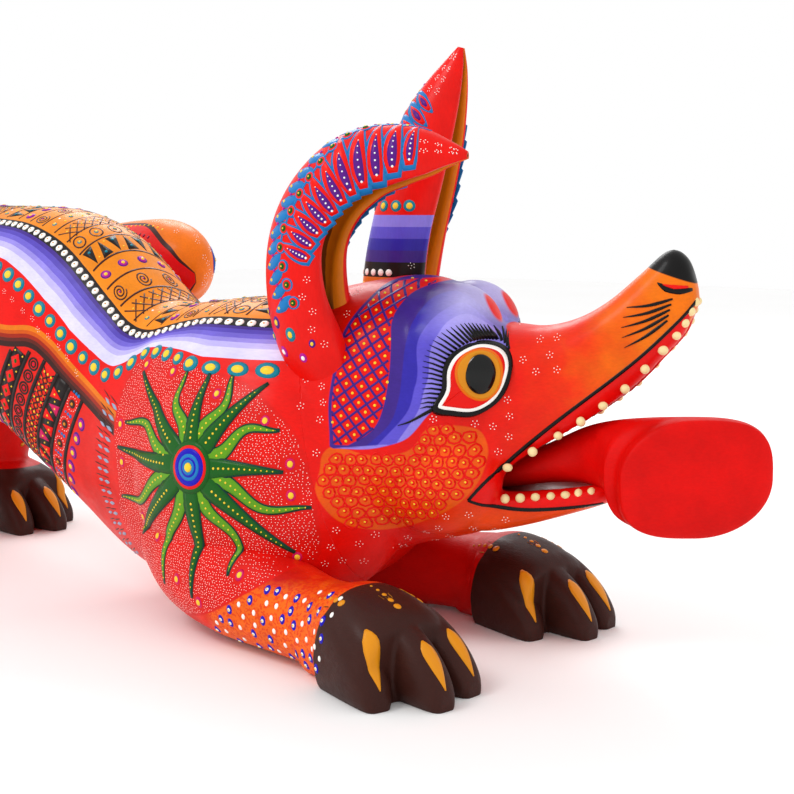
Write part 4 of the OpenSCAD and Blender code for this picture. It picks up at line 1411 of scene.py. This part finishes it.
def face(marks, tree, s):
    surface = side_surface(tree, s)
    dish = eased(surface, shrink(EYE, -1.5), s)
    for shape, colour, h in [
            (shrink(EYE, -1.1), "ink", 0.1), (shrink(EYE, 1.0), "white", 0.3),
            (shrink(EYE, 2.7), "red", 0.5), (ellipse(IRIS_AT, 11.6, 14.4, turn=0.1), "orange", 0.7),
            (ellipse(IRIS_AT, 10.4, 13.2, turn=0.1), "gold", 0.9)]:
        marks.fill(dish, shape, colour, h, 12, 3.0)
    p, n, _ = dish(np.array([PUPIL_AT]))
    marks.domes(p, n, 8.7, 3.0, "pupil", along=np.array([(-0.1, 0, 1.0)]), stretch=1.28, sides=44,
                lift=0.5)
    top = curve([(-60, 141), (-57, 151), (-55.5, 162), (-50.5, 171.5), (-41, 177), (-31, 175.5),
                 (-25, 170)], 4)
    uv, _ = walk(surface, top, 2.5)
    for k, at in enumerate(uv):
        f = k / max(len(uv) - 1, 1)
        away = np.array((0.75 * f - 1.0, 1.15 * f - 0.15))
        length = 7.5 + 4.0 * math.sin(math.pi * min(f * 1.2, 1))
        tip = (at + away / np.linalg.norm(away) * length
               + np.array((-1.2, 1.4)) * (0.3 + f))
        marks.stroke(surface, [at, (at + tip) / 2 + (-0.4, 0.6), tip], [0.62, 0.45, 0.08], "ink",
                     0.4, 2, steps=5)
    marks.stroke(surface, curve([(-59, 141), (-66, 137), (-73, 133), (-79, 131)], 3),
                 [1.1, 0.7, 0.15], "ink", 0.45, 2)
    # Black lines round the mouth.
    marks.stroke(surface, curve(UPPER_LIP[::4], 2), [0.7, 1.0, 0.9, 0.8, 0.6], "ink", 0.4, 3)
    marks.stroke(surface, curve(LOWER_LIP[::4], 2), [0.7, 1.0, 1.0, 0.8, 0.6], "ink", 0.4, 3)
    # Whiskers, and a red nostril edged in black.
    for k in range(5):
        a = np.array((60.5 - 0.6 * k, 200 - 2.9 * k))
        b = np.array((34 + 0.5 * (k - 2) ** 2, 195 - 5.4 * k))
        line = curve([a, (a + b) / 2 + (0, -1.2), b], 4)
        marks.stroke(surface, line, [0.5, 0.95, 0.6, 0.1], "ink", 0.4, 2)
    marks.stroke(surface, curve([(52, 208.5), (57, 205.6), (64, 204.3), (70, 205)], 3),
                 [0.2, 1.9, 1.9, 0.8], "ink", 0.35, 3)
    marks.stroke(surface, curve([(55, 207.6), (61, 206.4), (68, 206.4)], 3), [0.2, 1.1, 0.6], "red",
                 0.5, 3)
    hatch_area(marks, surface)
    cheek_cells(marks, surface)


def crossed(uv):
    """Where the brow has crossed lines."""
    return (signed(uv, BROW) > 1.6) & (signed(uv, BROW_LAYERS[0]) < -0.2)


HATCH_GAP = 6.4


def hatch_area(marks, surface):
    """Crossed lines and yellow dots in the red part of the brow."""
    ways = np.array([(0.62, -0.785), (0.80, 0.60)])
    sides = np.stack([-ways[:, 1], ways[:, 0]], 1)
    middle = np.array((-98.0, 165.0))
    count = range(-16, 17)
    for way, side in zip(ways, sides):
        for k in count:
            line = middle + side * k * HATCH_GAP + way * np.linspace(-60, 60, 121)[:, None]
            run = []
            for point, good in list(zip(line, crossed(line))) + [(None, False)]:
                if good:
                    run.append(point)
                else:
                    if len(run) > 2:
                        marks.stroke(surface, run[::3] + [run[-1]], 0.62, "violet", 0.3, 2)
                    run = []
    dots = np.array([middle + np.linalg.solve(sides, ((i + 0.5) * HATCH_GAP, (j + 0.5) * HATCH_GAP))
                     for i in count for j in count])
    marks.spots(surface, dots[crossed(dots)], 1.0, 0.5, "yellow", sides=7)


def cheek_cells(marks, surface):
    """Uneven scales on the cheek, each with a red middle and a yellow dot."""
    grid = np.random.default_rng(11)
    lo, hi = CHEEK.min(axis=0), CHEEK.max(axis=0)
    cell = 6.9
    for j, z in enumerate(np.arange(lo[1], hi[1], cell * 0.866)):
        for x in np.arange(lo[0], hi[0], cell) + (cell / 2 if j % 2 else 0):
            at = np.array((x, z)) + grid.uniform(-0.8, 0.8, 2)
            if signed(at[None], CHEEK)[0] < 1.6:
                continue
            r = 3.25 + grid.uniform(-0.35, 0.45, 8)
            loop = ellipse(at, r, r, 8)
            marks.stroke(surface, np.vstack([loop, loop[:1]]), 0.5, "red", 0.25, 2)
            marks.spots(surface, [at + (0.3, 0.4)], 1.55, 0.25, "red", stretch=1.15, sides=7)
            marks.spots(surface, [at + (-0.2, 0.5)], 0.8, 0.45, "yellow", lift=0.15, sides=6)


def scatter(region, box, gap, seed, *more):
    """Places at least gap apart where region(places) is true."""
    kept = []
    tries = np.random.default_rng(seed).uniform(box[::2], box[1::2], (2600, 2))
    for at in tries[region(tries, *more)]:
        if all(np.hypot(*(at - k)) > gap for k in kept):
            kept.append(at)
    return kept


body_marks, shoulder_marks, face_marks = Marks(), Marks(), Marks()
DOT_PITCH = 1.8


def plain_red(uv, s):
    """Where the side of the head and neck is bare of other paint."""
    x, z = uv.T
    bent = bend(np.stack([x, np.full(len(x), s * 70.0), z], 1), False)[:, [0, 2]]
    ok = (z > 50) & ~((x > -22) & (z < 160)) & (x < 2) & (x > -136) & ((x > -118) | (z < 168))
    for pts, outline, gap in [(bent, SHOULDER, 4), (uv, BROW, 3.2), (uv, EYE, 4), (uv, CHEEK, 2.5),
                              (uv, GAPE, 4.5)]:
        ok &= signed(pts, outline) < -gap
    return ok


for s in (-1, 1):
    surface = side_surface(shoulder_tree, s)
    micro_dots(shoulder_marks, surface, sun(shoulder_marks, surface), DOT_PITCH)
    spine(body_marks, s)
    flank(body_marks, body_tree, s)
    face(face_marks, body_tree, s)
    surface = side_surface(body_tree, s)
    for at in scatter(plain_red, (-136, 2, 50, 206), 8.8, 5 + s, s):
        face_marks.flower(surface, at, 1.1, r=0.62)
    x = np.arange(-556, -290, 3.0)
    spots, _ = walk(spine_surface(s), np.stack([x, border_half(x) + 11], 1), 11)
    for at in spots:
        body_marks.flower(spine_surface(s), at + (rng.uniform(-2, 2), rng.uniform(-2.5, 2.5)))
spine_bands(body_marks)
shoulder_paint = shoulder_marks.build("shoulder_marks")
body_paint = body_marks.build("body_marks")
face_paint = face_marks.build("face_marks")


FEATHER_RIB = curve([(50, 38), (63, 35), (74, 32), (85, 29.5), (104, 29), (114, 27), (124, 24),
                     (131, 20), (137, 14), (147, 8), (162, 5), (178, 2)], 6)


def feather(marks, surface, side, size):
    """A blue feather up the outer side of an ear: barbs like petals, each red round a purple
    drop, and ringed green dots down its rib. size stretches it to the ear's length."""
    def along(d, w=0.0):
        return np.array((d * size, side * (np.interp(d, FEATHER_RIB[:, 0], FEATHER_RIB[:, 1]) + w)))
    for d in np.arange(84, 178, 8.6):
        lean = -7 + 4 * (d - 84) / 94
        end = np.interp(d, [84, 110, 150, 170, 180], [49, 54, 53, 46, 32])
        root = along(d)
        t = np.linspace(0, 1, 12)
        line = root + np.stack([lean * t ** 1.3, side * (end - abs(root[1])) * t], 1)
        full = np.interp(d, [84, 100, 160, 178], [4.6, 5.4, 5.2, 3.4])
        widths = [full * f for f in (0.25, 0.5, 0.8, 1.0, 1.08, 1.08, 0.8)]
        marks.stroke(surface, line, widths, "sky",
                     0.25, 4)
        marks.stroke(surface, line[:-1], [full * f for f in (0.1, 0.36, 0.62, 0.76, 0.78, 0.5)],
                     "red", 0.42, 4)
        marks.stroke(surface, line[3:-2], [0.2, full * 0.28, full * 0.42, full * 0.48, full * 0.3],
                     "purple", 0.58, 3)
        dots = line[3:-2]
        marks.spots(surface, dots, np.linspace(0.4, 0.85, len(dots)), 0.35, "white", lift=0.5,
                    sides=6)
    for d in np.arange(58, 172, 7.0):
        root = along(d)
        line = [root, root + (-5, -side * 6), root + (-7, -side * 12)]
        marks.stroke(surface, curve(line, 4), [0.4, 2.6, 3.0, 1.8, 0.3], "sky", 0.25, 3)
        marks.spots(surface, [root + (-5.5, -side * 9)], 1.1, 0.4, "yellow", lift=0.2, sides=7)
        marks.spots(surface, [root + (-1, -side * 6.5)], 1.0, 0.4, "magenta", lift=0.2, sides=7)
    uv, _ = walk(surface, [along(d) for d in np.arange(54, 150, 3.0)], 10.4)
    for r, h, colour, lift in [(3.9, 0.35, "sky", 0.0), (3.2, 0.35, "red", 0.25),
                               (1.9, 0.9, "green", 0.4), (0.6, 0.4, "yellow", 1.2)]:
        marks.spots(surface, uv, r, h, colour, lift=lift, sides=14 if r > 1 else 6, stretch=1.1)
    marks.stroke(surface, [along(d) for d in np.arange(84, 178, 4.0)], 0.6, "sky", 0.5, 2)


def ear_foot(marks, surface, side, size):
    """Bright ovals round the foot of an ear's feather."""
    ovals = [(46, 22, 3.2), (38, 30, 3.6), (30, 20, 3.0), (52, 12, 2.2), (40, 12, 2.4),
             (24, 32, 2.6), (30, 40, 2.2), (22, 12, 2.0)]
    colours = (("purple", "yellow"), ("teal", "yellow"), ("magenta", "white"))
    for k, (d, w, r) in enumerate(ovals):
        outer, inner = colours[k % 3]
        marks.stack(surface, (d * size, side * w), [(r, 0.4, outer, 0, 12),
                                                    (r * 0.5, 0.5, inner, 0.35, 9)], stretch=1.3)


def half_feather(marks, surface, side, size):
    """Six long barbs near the tip of the upright ear's inner side."""
    for d in np.arange(124, 168, 8.0):
        line = curve([(d * size, side * 8), ((d - 4) * size, side * 22),
                      ((d - 9) * size, side * 36)], 4)
        marks.stroke(surface, line, [0.4, 3.2, 4.2, 3.0, 0.4], "sky", 0.25, 4)
        marks.stroke(surface, line[2:-1], [0.2, 2.0, 2.6, 1.0], "red", 0.4, 3)
        marks.stroke(surface, line[3:-2], [0.2, 1.0, 1.5, 0.6], "purple", 0.55, 3)


# Length of the curled ear, to which the feathers are drawn.
FEATHER_LENGTH = 196.0
ear_marks = {}
for name, ob, rows in [("right_ear", right_ear, RIGHT_EAR), ("left_ear", left_ear, LEFT_EAR)]:
    store(ob, "plain", coords(ob))
    store(ob, "ear", EARS[name][1])
    marks = Marks()
    surface = ear_surface(ob, rows)
    path = np.diff(np.array(rows)[:, :3], axis=0)
    size = float(np.linalg.norm(path, axis=1).sum()) / FEATHER_LENGTH
    for side in (-1, 1):
        whole_feather = name == "right_ear" or side == 1
        (feather if whole_feather else half_feather)(marks, surface, side, size)
        flowers = [(28 + 9.5 * k, side * (46 - 3.5 * (k % 2))) for k in range(5)]
        flowers += [(168 + 7 * (k % 4), side * (32 - 9 * (k // 4))) for k in range(8)]
        for d, w in flowers:
            marks.flower(surface, (d * size, w), 1.1)
        if whole_feather:
            ear_foot(marks, surface, side, size)
    ear_marks[name] = marks
# The sash round the far ear's foot: teal ovals above it, white dots and yellow lace below.
ear_side = side_surface(tree_of(left_ear), -1)
for x, gap, z, drop, count, coats in [
        (-137, 9.0, 249.5, 0, 5, [(4.0, 0.5, "teal", 0, 14), (2.3, 0.6, "yellow", 0.4, 12)]),
        (-142, 5.6, 210.0, 0, 6, [(2.4, 0.6, "white", 0, 12)]),
        (-144, 5.2, 203.0, 1.5, 7, [(1.3, 0.5, "yellow", 0, 8)]),
        (-142, 5.2, 198.0, 1.5, 7, [(1.4, 0.4, "teal", 0, 8)])]:
    ear_marks["left_ear"].stack(ear_side, [(x + gap * k, z - drop * (k % 2)) for k in range(count)],
                                coats)
ear_marks = {k: m.build(k + "_marks") for k, m in ear_marks.items()}


# ---------- legs ----------

# The upper edge of the dappled orange on the near forearm, as (forward, up).
ORANGE_LINE = [(-170, 30), (-151, 40), (-100, 47), (-50, 54)]


def orange_edge(x):
    return np.interp(x, *np.array(ORANGE_LINE).T)


def forearm_low(uv):
    x, z = uv.T
    return ((z < orange_edge(x) - 3) & (z > 6) & (x > -156) & (x < 0.2 * (z - 30) - 53)
            & (signed(uv, SHOULDER) < -3))


def forearm_top(uv):
    x, z = uv.T
    return (z > orange_edge(x) + 1) & (signed(uv, SHOULDER) < -5) & (x < -56)


def thigh(uv):
    return (uv[:, 0] < -480) & (uv[:, 1] > 62)


def paw_fields(ob, at, turn, flip, forearm):
    co = coords(ob) * ((1, -1, 1) if flip else (1, 1, 1))
    a = math.radians(-turn)
    d = co[:, :2] - np.array(at[:2])
    fwd = d[:, 0] * math.cos(a) - d[:, 1] * math.sin(a)
    store(ob, "plain", coords(ob))
    store(ob, "paw", fwd - 11 - 0.22 * (co[:, 2] - 25) if forearm else 46 - co[:, 2])
    x, y, z = co.T
    store(ob, "forearm", np.minimum(np.minimum(orange_edge(x) - z, -(y + 55)), x + 160))
    store(ob, "shoulder", signed(co[:, [0, 2]], SHOULDER) if forearm else np.full(len(co), -9.0))


def paw_surface(tree, at, turn, toe, flip):
    """Places over one toe: (turns from the tip up and back along the top, sideways)."""
    def surface(uv):
        around, way = [], []
        for t, side in uv:
            q = min(t, 1) * math.pi / 2
            around.append((46.0 - max(t - 1, 0) * 40 - TOE_BACK[toe + 1], side + TOE_SPREAD * toe,
                           9.0))
            way.append((math.cos(q), 0, math.sin(q)))
        around = turned(turned(around, 0, TOE_FAN * toe), (at[0], at[1], 0), turn)
        way = turned(turned(way, 0, TOE_FAN * toe), 0, turn)
        if flip:
            around, way = around * (1, -1, 1), way * (1, -1, 1)
        return cast(tree, around + way * 90, -way)
    return surface


leg_marks = {}
for name, (at, turn), flip, forearm in [
        ("right_front_leg", FRONT_PAWS[-1], False, True),
        ("left_front_leg", FRONT_PAWS[1], False, True), ("right_hind_leg", HIND_PAW, False, False),
        ("left_hind_leg", HIND_PAW, True, False)]:
    ob = legs[name]
    paw_fields(ob, at, turn, flip, forearm)
    tree = tree_of(ob)
    marks = Marks()
    for toe in (-1, 0, 1):
        surface = paw_surface(tree, at, turn, toe, flip)
        claw = [(0.03 + 0.60 * t, 0.0) for t in np.linspace(0, 1, 14)]
        marks.stroke(surface, claw, [0.3, 1.5, 2.8, 3.7, 4.2, 4.3, 3.4, 0.6], "gold", 0.5, 5)
        for k in range(4):
            y = (k - 1.5) * 2.1
            marks.stroke(surface, [(0.70, y * 0.8), (0.98, y * 1.2)], [0.3, 0.6, 0.3], "gold", 0.35,
                         2, steps=4)
        for k, r in enumerate((2.5, 2.0, 1.6, 1.2, 0.9)):
            marks.spots(surface, [(1.10 + 0.13 * k, 0.4)], r, 0.45, "gold", sides=10)
    leg_side = side_surface(tree, -1 if name.startswith("right") else 1)
    if name == "right_front_leg":
        for i, place_2d in enumerate(scatter(forearm_low, (-158, -48, 6, 52), 6.4, 4)):
            if i % 2:
                marks.spots(leg_side, place_2d, 1.6, 0.4, "white", sides=9, stretch=1.2)
            else:
                marks.spots(leg_side, place_2d, 2.5, 0.4, "royal", sides=12, stretch=1.25)
                marks.stack(leg_side, place_2d, [(1.3, 0.5, "white", 0.3, 8),
                                                 (0.7, 0.4, "yellow", 0.7, 6)])
    where = ((forearm_top, (-170, -50, 30, 62), 9.5, 12) if forearm
             else (thigh, (-560, -480, 62, 215), 13, 6))
    for place_2d in scatter(*where):
        marks.flower(leg_side, place_2d, 1.0 if forearm else 1.2)
    leg_marks[name] = marks.build(name + "_marks")


# ---------- tail and tongue ----------

store(tongue, "plain", coords(tongue))
store(tail, "plain", coords(tail))
TAIL_MIDDLE = np.array((-470.0, 20.0, 200.0))
centre = np.repeat(smooth_rows(TAIL, 8)[:, :3], 64, axis=0)
inward = unit_rows((TAIL_MIDDLE - centre) * (1, 1, 0))
store(tail, "round", -(unit_rows(coords(tail) - centre) * inward).sum(axis=1))
marks = Marks()
tail_tree = tree_of(tail)


def tail_surface(uv):
    """Places on the tail: (table rows along it, turn up from its outer side)."""
    start, way = [], []
    rows = np.array(TAIL, float)
    for u, a in uv:
        r = between(rows, u)[:3]
        out = (r - TAIL_MIDDLE) * (1, 1, 0)
        d = out / np.linalg.norm(out) * math.cos(a) + np.array((0, 0, math.sin(a)))
        start.append(r + d * 80)
        way.append(-d)
    return cast(tail_tree, start, way)


DISCS, DISC_TURN = (2.6, 3.7, 4.75, 5.65, 6.55, 7.45, 8.35), 0.15
for u in DISCS:
    mid = np.array((u, DISC_TURN))
    for r, colour, h in [(1.0, "royal", 0.35), (0.78, "sky", 0.5), (0.5, "royal", 0.65),
                         (0.3, "sky", 0.8)]:
        marks.fill(tail_surface, ellipse(mid, 0.26 * r, 0.36 * r, 20), colour, h, 4)
    p, n, _ = tail_surface(mid[None])
    marks.domes(p, n, 1.6, 0.6, "yellow", sides=10, lift=0.8)
draw = np.random.default_rng(9)
placed = []
for u, a in draw.uniform((0.8, -0.9), (9.6, 2.0), (700, 2)):
    near_spot = min(math.hypot((u - k) * 40, (a - DISC_TURN) * 30) for k in DISCS)
    if near_spot < 14 or any(math.hypot((u - c) * 40, (a - b) * 28) < 13 for c, b in placed):
        continue
    p, n, ok = tail_surface(np.array([(u, a)]))
    if not ok.all():
        continue
    placed.append((u, a))
    turn = draw.uniform(0, 6.28) + np.arange(5) * 2 * math.pi / 5
    b = unit_rows(np.cross(n, (0.3, 0.2, 1.0)))
    c = np.cross(b, n)
    pts = p + 1.7 * (np.cos(turn)[:, None] * b + np.sin(turn)[:, None] * c)
    marks.domes(pts, np.repeat(n, 5, 0), 0.58, 0.35, "white", sides=5, soft=False)
for a, colour, r in [(2.18, "yellow", 1.0), (2.5, "dark", 1.5), (2.5, "rose", 0.8)]:
    uv, way = walk(tail_surface, [(u, a) for u in np.linspace(1.2, 9.4, 90)], 6.5)
    marks.spots(tail_surface, uv, r, 0.4, colour, sides=8, lift=0.25 if r == 0.8 else 0.0)
tail_paint = marks.build("tail_marks")

# ---------- teeth ----------

def lip_point(rows, f, inset, lift, low):
    i = min(int(f), len(rows) - 2)
    r = np.array(rows[i]) * (1 - (f - i)) + np.array(rows[i + 1]) * (f - i)
    x, z = r[2:4] if low else r[:2]
    return np.array((x + lift[0], inset - r[4], z + lift[1]))


teeth = {}
draw = np.random.default_rng(2)
for name, rows, count, first, step, lift, low in [
        ("upper_teeth", UPPER_JAW, 13, 1.2, 0.62, (-1, 3), True),
        ("lower_teeth", LOWER_JAW, 8, 1.4, 0.34, (0, -3), False)]:
    parts = []
    for s in (1, -1):
        for i in range(count):
            c = lip_point(rows, first + i * step, 3.0, lift, low) * (1, s, 1)
            stretch = (1 + draw.uniform(-0.16, 0.1), 1.0, 1 + draw.uniform(-0.16, 0.06))
            parts.append(ball(c, 2.7, stretch, 14))
    teeth[name] = mesh_object(name + "_carved", *join(parts))


# ---------- into the frame ----------

def place(ob, rigid):
    co = coords(ob)
    set_coords(ob, to_row(bend(co, rigid) if rigid is not None else co))
    ob.data.polygons.foreach_set("use_smooth", [True] * len(ob.data.polygons))


body_fields(torso, False)
body_fields(head, True)
torso.data.materials.append(body_material(False))
head.data.materials.append(body_material(True))
right_ear.data.materials.append(ear_material("right_ear_paint", False))
left_ear.data.materials.append(ear_material("left_ear_paint", True))
tongue.data.materials.append(plain_material("tongue_paint", srgb(222, 5, 2), 0.5, 0.0))
tail.data.materials.append(tail_material())
cream = plain_material("teeth_paint", CREAM, 0.35, 0.3, 0.4)
for name, ob in legs.items():
    colour = srgb(238, 44, 10) if name == "right_front_leg" else srgb(214, 14, 8)
    ob.data.materials.append(limb_material(name + "_paint", colour, name == "right_front_leg"))
for name, ob in teeth.items():
    store(ob, "plain", coords(ob))
    ob.data.materials.append(cream)

CARVED = [(torso, False, "carving", "torso"), (head, True, "carving", "head"),
          (right_ear, True, "right_ear_part", "right_ear"),
          (left_ear, True, "left_ear_part", "left_ear"), (tongue, True, "tongue_part", "tongue"),
          (tail, None, "tail_part", "tail")]
CARVED += [(o, None, "carving", n) for n, o in legs.items()]
CARVED += [(o, True, "carving", n) for n, o in teeth.items()]
for ob, rigid, body, node in CARVED:
    place(ob, rigid)
    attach(ob, body)
    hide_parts(node)
MARKED = [(body_paint, False, "carving"), (face_paint, False, "carving"),
          (shoulder_paint, None, "carving"),
          (ear_marks["right_ear"], True, "right_ear_part"),
          (ear_marks["left_ear"], True, "left_ear_part"), (tail_paint, None, "tail_part")]
MARKED += [(o, None, "carving") for o in leg_marks.values()]
for ob, rigid, body in MARKED:
    place(ob, rigid)
    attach(ob, body)
wood = wood_material()
for node in ("neck_dowel", "right_ear_peg", "left_ear_peg", "tongue_peg", "tail_peg", "leg_dowels"):
    materials = bpy.data.objects[node].data.materials
    materials.clear()
    materials.append(wood)

# ---------- camera, floor, light ----------

CAM_AT = Vector(to_row([(455.57, -644.81, 250.0)])[0])
AZ, PITCH = math.radians(40), math.atan(192 / 1500)
forward = Vector((-math.sin(AZ), math.cos(AZ), -math.tan(PITCH)))
cam = linked("camera", bpy.data.cameras.new("camera"))
cam.location = CAM_AT
cam.rotation_euler = forward.to_track_quat("-Z", "Y").to_euler()
cam.data.lens, cam.data.sensor_width = 68.0, 36.0
cam.data.clip_start, cam.data.clip_end = 0.01, 20
bpy.context.scene.camera = cam

floor = mesh_object("floor", [(-3, -3, 0), (3, -3, 0), (3, 3, 0), (-3, 3, 0)], [(0, 1, 2, 3)])
g = Graph("studio_floor")
where = g.tree.nodes.new("ShaderNodeNewGeometry").outputs["Position"]
g.put(g.shader.inputs["Base Color"], g.ramp(g.noise(3.0, where=where), 0, 1,
      [(0, srgb(250, 249, 248)), (1, srgb(255, 255, 255))], "LINEAR"))
g.shader.inputs["Roughness"].default_value = 0.6
floor.data.materials.append(g.material)

world = bpy.data.worlds.new("studio")
bpy.context.scene.world = world
world.use_nodes = True
sky = world.node_tree.nodes["Background"]
sky.inputs["Color"].default_value, sky.inputs["Strength"].default_value = (1, 1, 1, 1), 1.0
bpy.context.scene.view_settings.view_transform = "Standard"


def softbox(name, at, aim, size, power):
    light = bpy.data.lights.new(name, "AREA")
    light.size, light.energy = size, power
    ob = linked(name, light)
    ob.location = at
    ob.rotation_euler = (Vector(aim) - Vector(at)).to_track_quat("-Z", "Y").to_euler()


softbox("key", (-0.35, -1.0, 1.35), (0.0, 0.0, 0.1), 0.5, 7)
softbox("back", (-0.9, 0.9, 1.1), (-0.1, 0.0, 0.15), 0.7, 9)
